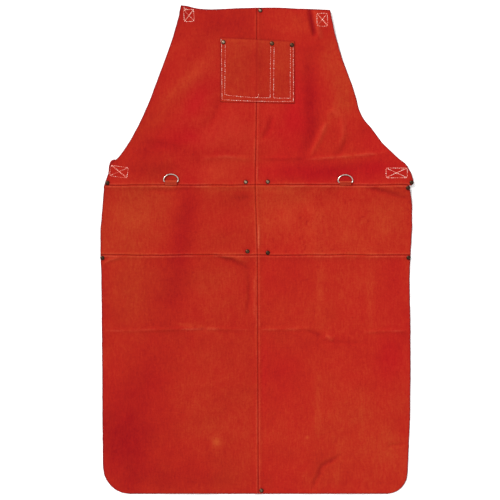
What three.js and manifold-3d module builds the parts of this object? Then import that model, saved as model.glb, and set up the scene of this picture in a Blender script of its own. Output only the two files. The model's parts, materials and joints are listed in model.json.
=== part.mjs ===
// Leather welding bib apron, laid face up on a floor, in millimetres.
// +X is to the wearer's left, +Y runs from the hem to the bib, +Z comes up out of the floor.
// The origin is on the floor, under the middle of the apron.

import * as THREE from 'three';
import { mergeVertices } from 'three/addons/utils/BufferGeometryUtils.js';
import Module from 'manifold-3d';

const wasm = await Module();
wasm.setup();

// Driving dimensions.
const GAP = 0.3;
const LEATHER = 1.4;
const POCKET_LEATHER = 1.3;
const WEBBING = 1.6;
const STRAP_WIDTH = 25;
const WAIST_SEAM = 126;
const LOWER_SEAM = -10;
const BIB_FOLD = 180;
const SKIRT_FOLD = -157;
const FOLD_GAP = 0.3;
const HEM = -475;
const LEFT_TOP = 475;
const RIGHT_TOP = 467;
const LEFT_CORNER_RADIUS = 52;
const RIGHT_CORNER_RADIUS = 40;

// Heights of the webbing's two layers above the floor, and where the webbing runs.
const LOWER_LAYER = 1.0;
const UPPER_LAYER = 3.3;
const BELT_Y = 151;
const BELT_LEFT = { sewn: -248, turn: -284, tail: 124 };
const BELT_RIGHT = { sewn: 252, turn: 293, tail: 212 };
const NECK_LEFT = { x: -130.5, top: 470.5 };
const NECK_RIGHT = { x: 126.3, top: 462.5 };
const NECK_CROSS_Y = 226;
const NECK_TURN_BACK = 30;

// Side-release buckle on the belt, and the slider on the neck strap.
const BUCKLE_START = 56;
const BUCKLE_MOUTH = 96;
const BUCKLE_END = 128;
const BUCKLE_WIDTH = 33;
const BUCKLE_FLOOR = 0.3;
const BUCKLE_TOP = 7.3;
const BUCKLE_WALL = 2;
const BUCKLE_SKIN = 1.4;
const BUCKLE_CORNER = 3;
const WINDOW_START = BUCKLE_START + 14;
const WINDOW_END = BUCKLE_START + 26;
const SLIDER_X = -60;
const SLIDER_TOP = 6.2;
const SLIDER_HALF = 12;
const SLIDER_RAIL = 2.8;
const SLIDER_CORNER = 2.5;
const SLIDER_END_BAR = 3;
const SLIDER_MIDDLE_BAR = 2.2;

// D-rings for 25 mm webbing, held by a leather keeper round their bar.
const RING_WIRE_RADIUS = 1.2;
const RING_HALF_WIDTH = 14.2;
const RING_RISE = 11.2;
const RING_CORNER = 2.6;
const RING_STRAIGHT = 0.9;
const RING_TILT = THREE.MathUtils.degToRad(5.5);
const RINGS = [['left', -166.6, 133], ['right', 172.8, 131.6]];
const KEEPER_LEATHER = 1.2;
const KEEPER_WIDTH = 23;
const KEEPER_START = WAIST_SEAM + 0.6;

// Rivets: a domed cap with its post on the face, a burr ring set into the back.
const CAP_RADIUS = 4.25;
const CAP_HEIGHT = 1.9;
const POST_RADIUS = 1.45;
const POST_HOLE = 1.75;
const BURR_RADIUS = 3.6;
const BURR_THICKNESS = 0.45;
const BURR_SEAT = 0.7;
const BURR_FOOT = 0.1;
const POST_FOOT = 0.15;

// The pocket's sewing thread: two rows, stopping short of the pocket's top.
const THREAD_HALF = 0.5;
const THREAD_HEIGHT = 0.4;
const THREAD_SHORT = 13;

// Outline: each list runs up the apron as [y, x].
const CENTRE_SEAM = [[-475, 3.7], [-250, 3], [-10, 2], [60, 0], [126, -2], [250, 0], [475, 1]];
const BIB_LEFT_EDGE = [
  [126, -296], [140, -292], [152, -287], [164, -285], [170, -282.5], [174, -276], [177, -270.5],
  [181, -267.7], [187, -263.1], [204, -251.5], [243, -230], [292, -208], [340, -190], [399, -168],
  [451, -152], [475, -147],
];
const BIB_RIGHT_EDGE = [
  [126, 302], [135, 306], [145, 303], [165, 293], [174, 281], [194, 260], [213, 241],
  [233, 228], [252, 211], [272, 200], [311, 190], [369, 168], [429, 151], [467, 143],
];
const WAIST_LEFT_EDGE = [[-10, -304], [40, -304], [106, -298], [126, -296]];
const WAIST_RIGHT_EDGE = [[-10, 300], [39, 303], [87, 303], [116, 299], [126, 297]];
const SKIRT_LEFT_EDGE = [[-430, -299], [-380, -300], [-185, -301], [-20, -303], [-10, -304]];
const SKIRT_RIGHT_EDGE = [[-440, 294], [-331, 299], [-253, 300], [-157, 300], [-60, 298], [-10, 300]];
const TOP_EDGE = [
  [-150, 475], [-137, 474.7], [-127, 472.4], [-115, 469.8], [-91, 468.4], [-50, 470.5], [0, 472], [50, 472],
  [81, 470], [150, 467],
];

// What lies under the leather lifts it: [x0, x1, y0, y1, height, margin, fall].
const HIDDEN = [
  [-287, 297, 138.5, 163.5, 2.1, 14, 26],
  [-292, -244, 136, 178, 5.9, 12, 26],
  [250, 297, 138.5, 163.5, 4.4, 14, 26],
  [128, 215, 138.5, 163.5, 4.4, 14, 26],
  [-66, BUCKLE_START, 138.5, 163.5, 4.4, 14, 26],
  [BUCKLE_START - 1, BUCKLE_END + 9, 134, 168, BUCKLE_TOP + GAP, 8, 24],
  [-143, -118, 213.5, 471, 2.1, 14, 26],
  [-143, -118, 440, 471, 4.4, 14, 26],
  [113.8, 138.8, 213.5, 463, 2.1, 14, 26],
  [113.8, 138.8, 432, 463, 4.4, 14, 26],
  [-143, 138.8, 213.5, 238.5, 4.4, 14, 26],
  [-106, 6, 210, 242, SLIDER_TOP + GAP, 14, 26],
];
const CURL = { x: -147, y: LEFT_TOP, height: 6, reach: 34 };

const POCKET = { left: -70, right: 74, bottomLeft: 289, bottomRight: 286, topLeft: 413, topRight: 406 };

// Rivet places as [name, x, y, panel].
const RIVETS = [
  ['rivet_top_centre', 7, 466.8, 'bib_right_upper'],
  ['rivet_pocket_left', -64.5, 404.6, 'bib_left_upper'],
  ['rivet_pocket_middle', 30, 402, 'bib_right_upper'],
  ['rivet_pocket_right', 69, 399, 'bib_right_upper'],
  ['rivet_waist_far_left', -290, 130.5, 'bib_left_lower'],
  ['rivet_waist_left', -21, 132, 'bib_left_lower'],
  ['rivet_waist_right', 22, 132.5, 'bib_right_lower'],
  ['rivet_waist_far_right', 301.8, 131.2, 'bib_right_lower'],
  ['rivet_waist_corner', 295, 121, 'waist_right'],
  ['rivet_lower_far_left', -300.4, -15.3, 'skirt_left_upper'],
  ['rivet_lower_left', -17.6, -3, 'waist_left'],
  ['rivet_lower_right', 22, -5.4, 'waist_right'],
  ['rivet_lower_far_right', 296.2, -15, 'skirt_right_upper'],
  ['rivet_hem', 9.4, -468.6, 'skirt_right_lower'],
];

const material = (color, roughness, metalness = 0) =>
  new THREE.MeshStandardMaterial({ color, roughness, metalness });
const LEATHER_RED = material(0xb93021, 0.95);
const LEATHER_POCKET = material(0xb62c1e, 0.95);
const WEBBING_BLACK = material(0x1c1c1e, 0.9);
const PLASTIC_BLACK = material(0x18181a, 0.5);
const ANTIQUE_METAL = material(0x6b5a4a, 0.4, 0.9);
const NICKEL = material(0xb8b4aa, 0.3, 1);
const THREAD_WHITE = material(0xe8d8d0, 0.8);

const apron = new THREE.Group();

function place(name, geometry, look) {
  const mesh = new THREE.Mesh(geometry, look);
  mesh.name = name;
  apron.add(mesh);
  return mesh;
}

// --- Small helpers -------------------------------------------------------

const clamp01 = (value) => Math.min(1, Math.max(0, value));
const smooth = (value) => value * value * (3 - 2 * value);
const mix = (a, b, t) => a + (b - a) * t;

// A smooth curve through [s, value] pairs in rising s.
function curveThrough(points) {
  const slope = (i) => {
    const before = points[Math.max(0, i - 1)];
    const after = points[Math.min(points.length - 1, i + 1)];
    return (after[1] - before[1]) / (after[0] - before[0]);
  };
  return (s) => {
    let i = 0;
    while (i < points.length - 2 && s > points[i + 1][0]) i += 1;
    const [s0, v0] = points[i];
    const [s1, v1] = points[i + 1];
    const span = s1 - s0;
    const t = clamp01((s - s0) / span);
    const hermite = (v1 - v0) * smooth(t);
    return v0 + hermite + span * t * (1 - t) * ((1 - t) * slope(i) - t * slope(i + 1));
  };
}

// Height of the leather's back above the floor.
function lift(x, y) {
  let height = 0;
  for (const [x0, x1, y0, y1, top, margin, fall] of HIDDEN) {
    const away = Math.hypot(Math.max(x0 - x, 0, x - x1), Math.max(y0 - y, 0, y - y1));
    height = Math.max(height, top * (1 - smooth(clamp01((away - margin) / fall))));
  }
  const curl = clamp01(1 - Math.hypot(x - CURL.x, y - CURL.y) / CURL.reach);
  return height + CURL.height * curl * curl;
}

function solidOf(geometry) {
  const bare = geometry.clone();
  bare.deleteAttribute('normal');
  bare.deleteAttribute('uv');
  const merged = mergeVertices(bare, 1e-4);
  return new wasm.Manifold(new wasm.Mesh({
    numProp: 3,
    vertProperties: new Float32Array(merged.attributes.position.array),
    triVerts: new Uint32Array(merged.index.array),
  }));
}

function geometryOf(solid) {
  const mesh = solid.getMesh();
  const geometry = new THREE.BufferGeometry();
  geometry.setAttribute('position', new THREE.BufferAttribute(new Float32Array(mesh.vertProperties), 3));
  geometry.setIndex(new THREE.BufferAttribute(new Uint32Array(mesh.triVerts), 1));
  geometry.computeVertexNormals();
  return geometry;
}

function union(geometries) {
  return geometryOf(geometries.map(solidOf).reduce((whole, piece) => whole.add(piece)));
}

// An indexed geometry whose faces are turned to point out.
function closedGeometry(vertices, triangles) {
  let volume = 0;
  const a = new THREE.Vector3();
  const b = new THREE.Vector3();
  const c = new THREE.Vector3();
  for (const [i, j, k] of triangles) {
    volume += a.fromArray(vertices[i]).dot(b.fromArray(vertices[j]).cross(c.fromArray(vertices[k])));
  }
  const faces = volume > 0 ? triangles : triangles.map(([i, j, k]) => [i, k, j]);
  const geometry = new THREE.BufferGeometry();
  geometry.setAttribute('position', new THREE.Float32BufferAttribute(vertices.flat(), 3));
  geometry.setIndex(faces.flat());
  geometry.computeVertexNormals();
  return geometry;
}

// A sheet over a grid of [x, y] places, with its back at bottom(x, y).
function sheet(grid, bottom, thickness) {
  const rows = grid.length;
  const columns = grid[0].length;
  const vertices = [];
  for (const extra of [0, thickness]) {
    for (const row of grid) {
      for (const [x, y] of row) vertices.push([x, y, bottom(x, y) + extra]);
    }
  }
  const layer = rows * columns;
  const at = (r, c, top) => top * layer + r * columns + c;
  const triangles = [];
  const quad = (i, j, k, l) => triangles.push([i, j, k], [i, k, l]);
  for (let r = 0; r < rows - 1; r += 1) {
    for (let c = 0; c < columns - 1; c += 1) {
      quad(at(r, c, 1), at(r, c + 1, 1), at(r + 1, c + 1, 1), at(r + 1, c, 1));
      quad(at(r, c, 0), at(r + 1, c, 0), at(r + 1, c + 1, 0), at(r, c + 1, 0));
    }
  }
  for (let c = 0; c < columns - 1; c += 1) {
    quad(at(0, c, 0), at(0, c + 1, 0), at(0, c + 1, 1), at(0, c, 1));
    quad(at(rows - 1, c + 1, 0), at(rows - 1, c, 0), at(rows - 1, c, 1), at(rows - 1, c + 1, 1));
  }
  for (let r = 0; r < rows - 1; r += 1) {
    quad(at(r + 1, 0, 0), at(r, 0, 0), at(r, 0, 1), at(r + 1, 0, 1));
    quad(at(r, columns - 1, 0), at(r + 1, columns - 1, 0), at(r + 1, columns - 1, 1), at(r, columns - 1, 1));
  }
  return closedGeometry(vertices, triangles);
}

// --- Leather panels ------------------------------------------------------

const centreSeam = curveThrough(CENTRE_SEAM);
const topEdge = curveThrough(TOP_EDGE);

// Even steps from a to b, both ends included.
const steps = (a, b, count) => Array.from({ length: count + 1 }, (_, i) => mix(a, b, i / count));

// A half panel: rows of y from seam to seam, columns from the centre seam out to the edge.
function panelGrid(side, edge, rows, columns, top = null) {
  const first = rows[0];
  const last = rows[rows.length - 1];
  return rows.map((row) => steps(0, 1, columns).map((u) => {
    const xAt = (y) => mix(centreSeam(y) + side * GAP / 2, edge(y), u);
    const ceiling = top ? top(xAt(last)) : last;
    const y = mix(first, ceiling, (row - first) / (last - first));
    return [xAt(y), y];
  }));
}

// A round bottom corner: the edge is straight above it and a quarter circle below.
function withCorner(edge, side, radius) {
  const centreY = HEM + radius;
  const centreX = edge(centreY) - side * radius;
  return (y) => {
    if (y > centreY) return edge(y);
    const down = centreY - y;
    return centreX + side * Math.sqrt(Math.max(0, radius * radius - down * down));
  };
}

function cornerRows(radius) {
  const angles = steps(0, Math.PI / 2, 6).reverse();
  return angles.map((angle) => HEM + radius * (1 - Math.sin(angle)));
}

const BELT_ROWS = [WAIST_SEAM + GAP / 2, 133, 150, 167, BIB_FOLD - FOLD_GAP];
const WAIST_ROWS = [LOWER_SEAM + GAP / 2, 40, 86, 94, 101, 109, 118, WAIST_SEAM - GAP / 2];
const SKIRT_ROWS = [SKIRT_FOLD + FOLD_GAP, -100, -50, LOWER_SEAM - GAP / 2];
const BIB_ROWS = [
  BIB_FOLD + FOLD_GAP, 188, 199, 211, 226, 241, 253, 264, 279, 300, 325, 350, 375, 400, 418, 436, 454,
  LEFT_TOP,
];

function cutForRivet(x, y) {
  const base = lift(x, y);
  const profile = [
    [0, -20], [BURR_RADIUS + GAP, -20], [BURR_RADIUS + GAP, BURR_SEAT], [POST_HOLE, BURR_SEAT],
    [POST_HOLE, 20], [0, 20],
  ];
  return lathe(profile).translate(x, y, base);
}

// A solid of revolution about Z from [radius, z] points.
function lathe(profile, segments = 12) {
  const points = profile.map(([r, z]) => new THREE.Vector2(r, z));
  return new THREE.LatheGeometry(points, segments).rotateX(Math.PI / 2);
}

function halfPanel(name, side, edge, rows, columns, top) {
  const grid = panelGrid(side, edge, rows, columns, top);
  let solid = solidOf(sheet(grid, lift, LEATHER));
  for (const [, x, y] of RIVETS.filter((rivet) => rivet[3] === name)) {
    solid = solid.subtract(solidOf(cutForRivet(x, y)));
  }
  place(name, geometryOf(solid), LEATHER_RED);
}

const HALVES = [
  { word: 'left', side: -1, radius: LEFT_CORNER_RADIUS, columns: 13,
    bib: BIB_LEFT_EDGE, waist: WAIST_LEFT_EDGE, skirt: SKIRT_LEFT_EDGE, topY: LEFT_TOP },
  { word: 'right', side: 1, radius: RIGHT_CORNER_RADIUS, columns: 22,
    bib: BIB_RIGHT_EDGE, waist: WAIST_RIGHT_EDGE, skirt: SKIRT_RIGHT_EDGE, topY: RIGHT_TOP },
];

for (const half of HALVES) {
  const { word, side, columns } = half;
  const bib = curveThrough(half.bib);
  const waist = curveThrough(half.waist);
  const skirt = withCorner(curveThrough(half.skirt), side, half.radius);
  const shorter = (half.topY - BIB_ROWS[0]) / (LEFT_TOP - BIB_ROWS[0]);
  const upperRows = BIB_ROWS.map((row) => BIB_ROWS[0] + (row - BIB_ROWS[0]) * shorter);
  const lowerRows = [...cornerRows(half.radius), -330, -240, SKIRT_FOLD - FOLD_GAP];
  halfPanel(`bib_${word}_upper`, side, bib, upperRows, 13, topEdge);
  halfPanel(`bib_${word}_lower`, side, bib, BELT_ROWS, columns);
  halfPanel(`waist_${word}`, side, waist, WAIST_ROWS, columns);
  halfPanel(`skirt_${word}_upper`, side, skirt, SKIRT_ROWS, 5);
  halfPanel(`skirt_${word}_lower`, side, skirt, lowerRows, 5);
}

// An outline of [x, y] points raised along Z.
function extrude(outline, z0, z1, holes = []) {
  const path = (points) => points.map(([x, y]) => new THREE.Vector2(x, y));
  const shape = new THREE.Shape(path(outline));
  shape.holes = holes.map((hole) => new THREE.Path(path(hole)));
  return new THREE.ExtrudeGeometry(shape, { depth: z1 - z0, bevelEnabled: false }).translate(0, 0, z0);
}

const box = (x0, x1, y0, y1, z0, z1) => extrude([[x0, y0], [x1, y0], [x1, y1], [x0, y1]], z0, z1);

// The reinforcing tab between the left waist corner and the belt's sewn end.
const TAB_BACK = UPPER_LAYER + WEBBING / 2 + GAP;
const TAB_LEATHER = 1.2;
const TAB_OUTLINE = [
  [-290, 137], [-246, 137], [-246, 161], [-271.6, 173], [-273.4, 175.3], [-277, 176.4], [-281.8, 174.9],
  [-285.2, 171], [-287.2, 164], [-288.6, 150],
];
place('waist_tab', extrude(TAB_OUTLINE, TAB_BACK, TAB_BACK + TAB_LEATHER), LEATHER_RED);

// --- Pocket --------------------------------------------------------------

const POCKET_BACK = LEATHER + GAP;
const POCKET_FACE = POCKET_BACK + POCKET_LEATHER;

function pocketPoint(u, v) {
  const bottom = mix(POCKET.bottomLeft, POCKET.bottomRight, u);
  const top = mix(POCKET.topLeft, POCKET.topRight, u);
  return [mix(POCKET.left, POCKET.right, u), mix(bottom, top, v)];
}

const throughPocket = (rivet) => rivet[0].startsWith('rivet_pocket');
const postHole = lathe([[0, 0], [POST_HOLE, 0], [POST_HOLE, 2 * POCKET_FACE], [0, 2 * POCKET_FACE]]);
const pocketOutline = [pocketPoint(0, 0), pocketPoint(1, 0), pocketPoint(1, 1), pocketPoint(0, 1)];
const pocket = RIVETS.filter(throughPocket).reduce(
  (solid, [, x, y]) => solid.subtract(solidOf(postHole.clone().translate(x, y, 0))),
  solidOf(extrude(pocketOutline, POCKET_BACK, POCKET_FACE)),
);
place('chest_pocket', geometryOf(pocket), LEATHER_POCKET);

// One row of thread: down the left side, along the bottom and up the right side, with any dividers.
function pocketStitchRow(inset, dividers, bottomInset) {
  const back = POCKET_FACE + GAP;
  const left = POCKET.left + inset;
  const right = POCKET.right - inset;
  const bottom = POCKET.bottomLeft + bottomInset;
  const top = POCKET.topRight - THREAD_SHORT;
  const bar = (x0, x1, y0, y1) => box(
    x0 - THREAD_HALF, x1 + THREAD_HALF, y0 - THREAD_HALF, y1 + THREAD_HALF, back, back + THREAD_HEIGHT,
  );
  return union([
    bar(left, left, bottom, top),
    bar(right, right, bottom, top),
    ...dividers.map((x) => bar(x, x, bottom, top)),
    bar(left, right, bottom, bottom),
  ]);
}
place('pocket_thread_outer', pocketStitchRow(2, [], 3), THREAD_WHITE);
place('pocket_thread_inner', pocketStitchRow(8.6, [27.3, 33.2], 10), THREAD_WHITE);

// --- Rivets --------------------------------------------------------------

for (const rivet of RIVETS) {
  const [name, x, y] = rivet;
  const under = (throughPocket(rivet) ? POCKET_FACE : LEATHER) + GAP;
  const cap = lathe([
    [0, POST_FOOT], [POST_RADIUS, POST_FOOT], [POST_RADIUS, under], [CAP_RADIUS - 0.2, under],
    [CAP_RADIUS, under + 0.5], [CAP_RADIUS * 0.72, under + 0.8 * CAP_HEIGHT], [0, under + CAP_HEIGHT],
  ]);
  place(`${name}_cap`, cap.translate(x, y, lift(x, y)), ANTIQUE_METAL);
  const burr = lathe([
    [POST_HOLE, BURR_FOOT], [BURR_RADIUS, BURR_FOOT], [BURR_RADIUS, BURR_FOOT + BURR_THICKNESS],
    [POST_HOLE, BURR_FOOT + BURR_THICKNESS], [POST_HOLE, BURR_FOOT],
  ]);
  place(`${name}_burr`, burr.translate(x, y, lift(x, y)), ANTIQUE_METAL);
}

// --- D-rings and their keepers -------------------------------------------

// Points round an arc, from angle a to angle b in degrees; rise is its other radius if it isn't round.
function arc(cx, cy, radius, a, b, count, rise = radius) {
  return steps(a, b, count).map((degrees) => {
    const angle = THREE.MathUtils.degToRad(degrees);
    return [cx + radius * Math.cos(angle), cy + rise * Math.sin(angle)];
  });
}

// A round wire swept along a closed flat path.
function wireRing(path, radius, sides) {
  const vertices = [];
  const count = path.length;
  path.forEach(([x, y], i) => {
    const [ax, ay] = path[(i + count - 1) % count];
    const [bx, by] = path[(i + 1) % count];
    const length = Math.hypot(bx - ax, by - ay);
    for (let s = 0; s < sides; s += 1) {
      const angle = (2 * Math.PI * s) / sides;
      const out = (radius * Math.cos(angle)) / length;
      vertices.push([x + out * (by - ay), y - out * (bx - ax), radius * Math.sin(angle)]);
    }
  });
  const triangles = [];
  for (let i = 0; i < count; i += 1) {
    for (let s = 0; s < sides; s += 1) {
      const a = i * sides + s;
      const b = i * sides + ((s + 1) % sides);
      const c = ((i + 1) % count) * sides + ((s + 1) % sides);
      const d = ((i + 1) % count) * sides + s;
      triangles.push([a, b, c], [a, c, d]);
    }
  }
  return closedGeometry(vertices, triangles);
}

const RING_PATH = [
  ...arc(RING_HALF_WIDTH - RING_CORNER, RING_CORNER, RING_CORNER, -90, 0, 3),
  ...arc(0, RING_CORNER + RING_STRAIGHT, RING_HALF_WIDTH, 3, 177, 16, RING_RISE),
  ...arc(RING_CORNER - RING_HALF_WIDTH, RING_CORNER, RING_CORNER, 180, 270, 3),
];

// A flat ribbon's outline, from its centre line.
function ribbonOutline(line, thickness) {
  const left = [];
  const right = [];
  line.forEach(([x, y], i) => {
    const [ax, ay] = line[Math.max(0, i - 1)];
    const [bx, by] = line[Math.min(line.length - 1, i + 1)];
    const length = Math.hypot(bx - ax, by - ay);
    const nx = (-(by - ay) / length) * (thickness / 2);
    const ny = ((bx - ax) / length) * (thickness / 2);
    left.push([x + nx, y + ny]);
    right.unshift([x - nx, y - ny]);
  });
  return [...left, ...right];
}

for (const [word, x, barY] of RINGS) {
  const across = steps(x - RING_HALF_WIDTH - RING_WIRE_RADIUS, x + RING_HALF_WIDTH + RING_WIRE_RADIUS, 8);
  const surface = Math.max(...across.map((at) => lift(at, barY))) + LEATHER;
  const barZ = surface + 3 * GAP + KEEPER_LEATHER + RING_WIRE_RADIUS;
  const ring = place(`d_ring_${word}`, wireRing(RING_PATH, RING_WIRE_RADIUS, 8), NICKEL);
  ring.position.set(x, barY, barZ);
  ring.rotation.x = -RING_TILT;
  const loop = RING_WIRE_RADIUS + GAP + KEEPER_LEATHER / 2;
  const line = [
    [KEEPER_START, barZ - loop],
    ...arc(barY, barZ, loop, -90, 90, 8),
    [KEEPER_START, barZ + loop - 1],
  ];
  const keeper = extrude(ribbonOutline(line, KEEPER_LEATHER), -KEEPER_WIDTH / 2, KEEPER_WIDTH / 2);
  keeper.rotateX(Math.PI / 2).rotateZ(Math.PI / 2);
  place(`ring_keeper_${word}`, keeper.translate(x, 0, 0), LEATHER_RED);
}

// --- Webbing -------------------------------------------------------------

// Webbing lying along X whose side view is the given centre line of [x, z] points.
function webbingAlongX(line, y) {
  const strip = extrude(ribbonOutline(line, WEBBING), -STRAP_WIDTH / 2, STRAP_WIDTH / 2);
  return strip.rotateX(Math.PI / 2).translate(0, y, 0);
}

const TURN = (UPPER_LAYER - LOWER_LAYER) / 2;
const TURN_Z = (UPPER_LAYER + LOWER_LAYER) / 2;
const SOCKET_BAR_X = BUCKLE_START + 3.5;
const TONGUE_BAR_X = BUCKLE_END - 4;
const BAR_Z = 3.9;
const BAR_RADIUS = 1.4;
const BAR_LOOP = BAR_RADIUS + GAP + WEBBING / 2;
// Distances from a bar to where its loop narrows and to where the webbing lies flat again.
const LOOP_WIDE = 8;
const LOOP_CLOSED = 13;

place('belt_left', webbingAlongX([
  [BELT_LEFT.sewn, UPPER_LAYER],
  ...arc(BELT_LEFT.turn, TURN_Z, TURN, 90, 270, 6),
  [SOCKET_BAR_X - LOOP_WIDE, LOWER_LAYER],
  ...arc(SOCKET_BAR_X, BAR_Z, BAR_LOOP, -90, 90, 8),
  [SOCKET_BAR_X - LOOP_WIDE, UPPER_LAYER + WEBBING],
  [SOCKET_BAR_X - LOOP_CLOSED, UPPER_LAYER],
  [SOCKET_BAR_X - BELT_LEFT.tail, UPPER_LAYER],
], BELT_Y), WEBBING_BLACK);

place('belt_right', webbingAlongX([
  [BELT_RIGHT.sewn, UPPER_LAYER],
  ...arc(BELT_RIGHT.turn, TURN_Z, TURN, 90, -90, 6),
  [TONGUE_BAR_X + LOOP_WIDE, LOWER_LAYER],
  ...arc(TONGUE_BAR_X, BAR_Z, BAR_LOOP, 270, 90, 8),
  [TONGUE_BAR_X + LOOP_WIDE, UPPER_LAYER + WEBBING],
  [TONGUE_BAR_X + LOOP_CLOSED, UPPER_LAYER],
  [BELT_RIGHT.tail, UPPER_LAYER],
], BELT_Y), WEBBING_BLACK);

// A strip through cross-sections, each with its corners in this order: outside left, outside right,
// inside right, inside left.
function stripThrough(sections) {
  const triangles = [];
  const quad = (i, j, k, l) => triangles.push([i, j, k], [i, k, l]);
  for (let i = 0; i < sections.length - 1; i += 1) {
    for (let side = 0; side < 4; side += 1) {
      const next = (side + 1) % 4;
      quad(4 * i + side, 4 * i + next, 4 * i + 4 + next, 4 * i + 4 + side);
    }
  }
  const last = 4 * sections.length - 4;
  quad(3, 2, 1, 0);
  quad(last, last + 1, last + 2, last + 3);
  return closedGeometry(sections.flat(), triangles);
}

// The neck strap runs down behind the bib from one top corner, turns 90 degrees at a
// diagonal fold, crosses over, and folds again to run up to the other corner.
function neckSide({ x, top }, outward) {
  const left = x + (outward * STRAP_WIDTH) / 2;
  const right = x - (outward * STRAP_WIDTH) / 2;
  const high = NECK_CROSS_Y + STRAP_WIDTH / 2;
  const low = NECK_CROSS_Y - STRAP_WIDTH / 2;
  const outside = TURN + WEBBING / 2;
  const inside = TURN - WEBBING / 2;
  // A cross-section part way round a fold, at an angle of 90 at the upper layer and -90 at the lower.
  const section = (angle, leftY, rightY, alongX, alongY) => {
    const radians = THREE.MathUtils.degToRad(angle);
    const corner = (cx, cy, radius) => [
      cx + alongX * radius * Math.cos(radians), cy + alongY * radius * Math.cos(radians),
      TURN_Z + radius * Math.sin(radians),
    ];
    return [
      corner(left, leftY, outside), corner(right, rightY, outside),
      corner(right, rightY, inside), corner(left, leftY, inside),
    ];
  };
  const turns = [90, 45, 0, -45, -90];
  const hairpinY = top - outside;
  return [
    section(90, top - NECK_TURN_BACK, top - NECK_TURN_BACK, 0, 0),
    ...turns.map((angle) => section(angle, hairpinY, hairpinY, 0, 1)),
    ...turns.toReversed().map((angle) => section(angle, high, low, outward * Math.SQRT1_2, -Math.SQRT1_2)),
  ];
}

place('neck_strap', stripThrough([
  ...neckSide(NECK_LEFT, -1),
  ...neckSide(NECK_RIGHT, 1).reverse(),
]), WEBBING_BLACK);

// --- Slider on the neck strap --------------------------------------------

const RAIL_IN = STRAP_WIDTH / 2 + 0.4;
const RAIL_OUT = RAIL_IN + SLIDER_RAIL;
const WEB_LOW = UPPER_LAYER - WEBBING / 2 - GAP;
const WEB_HIGH = UPPER_LAYER + WEBBING / 2 + GAP;

// A rectangle round the origin with round corners, as an outline.
function roundedOutline(halfX, halfY, radius) {
  const x = halfX - radius;
  const y = halfY - radius;
  return [
    ...arc(x, y, radius, 0, 90, 3), ...arc(-x, y, radius, 90, 180, 3),
    ...arc(-x, -y, radius, 180, 270, 3), ...arc(x, -y, radius, 270, 360, 3),
  ];
}

const sliderFrame = solidOf(extrude(roundedOutline(SLIDER_HALF, RAIL_OUT, SLIDER_CORNER), GAP, SLIDER_TOP));
const sliderWindow = SLIDER_HALF - SLIDER_END_BAR;
const sliderCuts = [
  box(-SLIDER_HALF - 1, SLIDER_HALF + 1, -RAIL_IN, RAIL_IN, WEB_LOW, WEB_HIGH),
  box(-sliderWindow, sliderWindow, -RAIL_IN, RAIL_IN, WEB_HIGH - 0.1, SLIDER_TOP + 1),
  box(-SLIDER_HALF - 1, -SLIDER_MIDDLE_BAR, -RAIL_IN, RAIL_IN, -1, WEB_LOW + 0.1),
  box(SLIDER_MIDDLE_BAR, SLIDER_HALF + 1, -RAIL_IN, RAIL_IN, -1, WEB_LOW + 0.1),
];
const slider = geometryOf(sliderCuts.reduce((solid, cut) => solid.subtract(solidOf(cut)), sliderFrame));
place('neck_slider', slider.translate(SLIDER_X, NECK_CROSS_Y, 0), PLASTIC_BLACK);

// --- Side-release buckle on the belt -------------------------------------

const HALF = BUCKLE_WIDTH / 2;
const BORE_LOW = BUCKLE_FLOOR + BUCKLE_SKIN;
const BORE_HIGH = BUCKLE_TOP - BUCKLE_SKIN;

// A bar round the middle of a webbing loop, between two side cheeks.
function buckleBar(x) {
  const bar = new THREE.CylinderGeometry(BAR_RADIUS, BAR_RADIUS, BUCKLE_WIDTH - BUCKLE_WALL, 10);
  return bar.translate(x, 0, BAR_Z);
}

const socketOutline = [
  [BUCKLE_START, -HALF + BUCKLE_CORNER], [BUCKLE_START + BUCKLE_CORNER, -HALF],
  [BUCKLE_MOUTH - BUCKLE_CORNER, -HALF], [BUCKLE_MOUTH, -HALF + BUCKLE_CORNER],
  [BUCKLE_MOUTH, HALF - BUCKLE_CORNER], [BUCKLE_MOUTH - BUCKLE_CORNER, HALF],
  [BUCKLE_START + BUCKLE_CORNER, HALF], [BUCKLE_START, HALF - BUCKLE_CORNER],
];
const boreHalf = HALF - BUCKLE_WALL;
const socketCuts = [
  box(BUCKLE_START - 1, BUCKLE_START + 8, -RAIL_IN, RAIL_IN, -1, BUCKLE_TOP + 1),
  box(BUCKLE_START + 10, BUCKLE_MOUTH + 1, -boreHalf, boreHalf, BORE_LOW, BORE_HIGH),
  box(WINDOW_START, WINDOW_END, -HALF - 1, HALF + 1, BORE_LOW, BORE_HIGH),
];
const socketBody = socketCuts.reduce(
  (solid, cut) => solid.subtract(solidOf(cut)), solidOf(extrude(socketOutline, BUCKLE_FLOOR, BUCKLE_TOP)),
);
const socket = geometryOf(socketBody.add(solidOf(buckleBar(SOCKET_BAR_X))));
place('buckle_socket', socket.translate(0, BELT_Y, 0), PLASTIC_BLACK);

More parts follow.
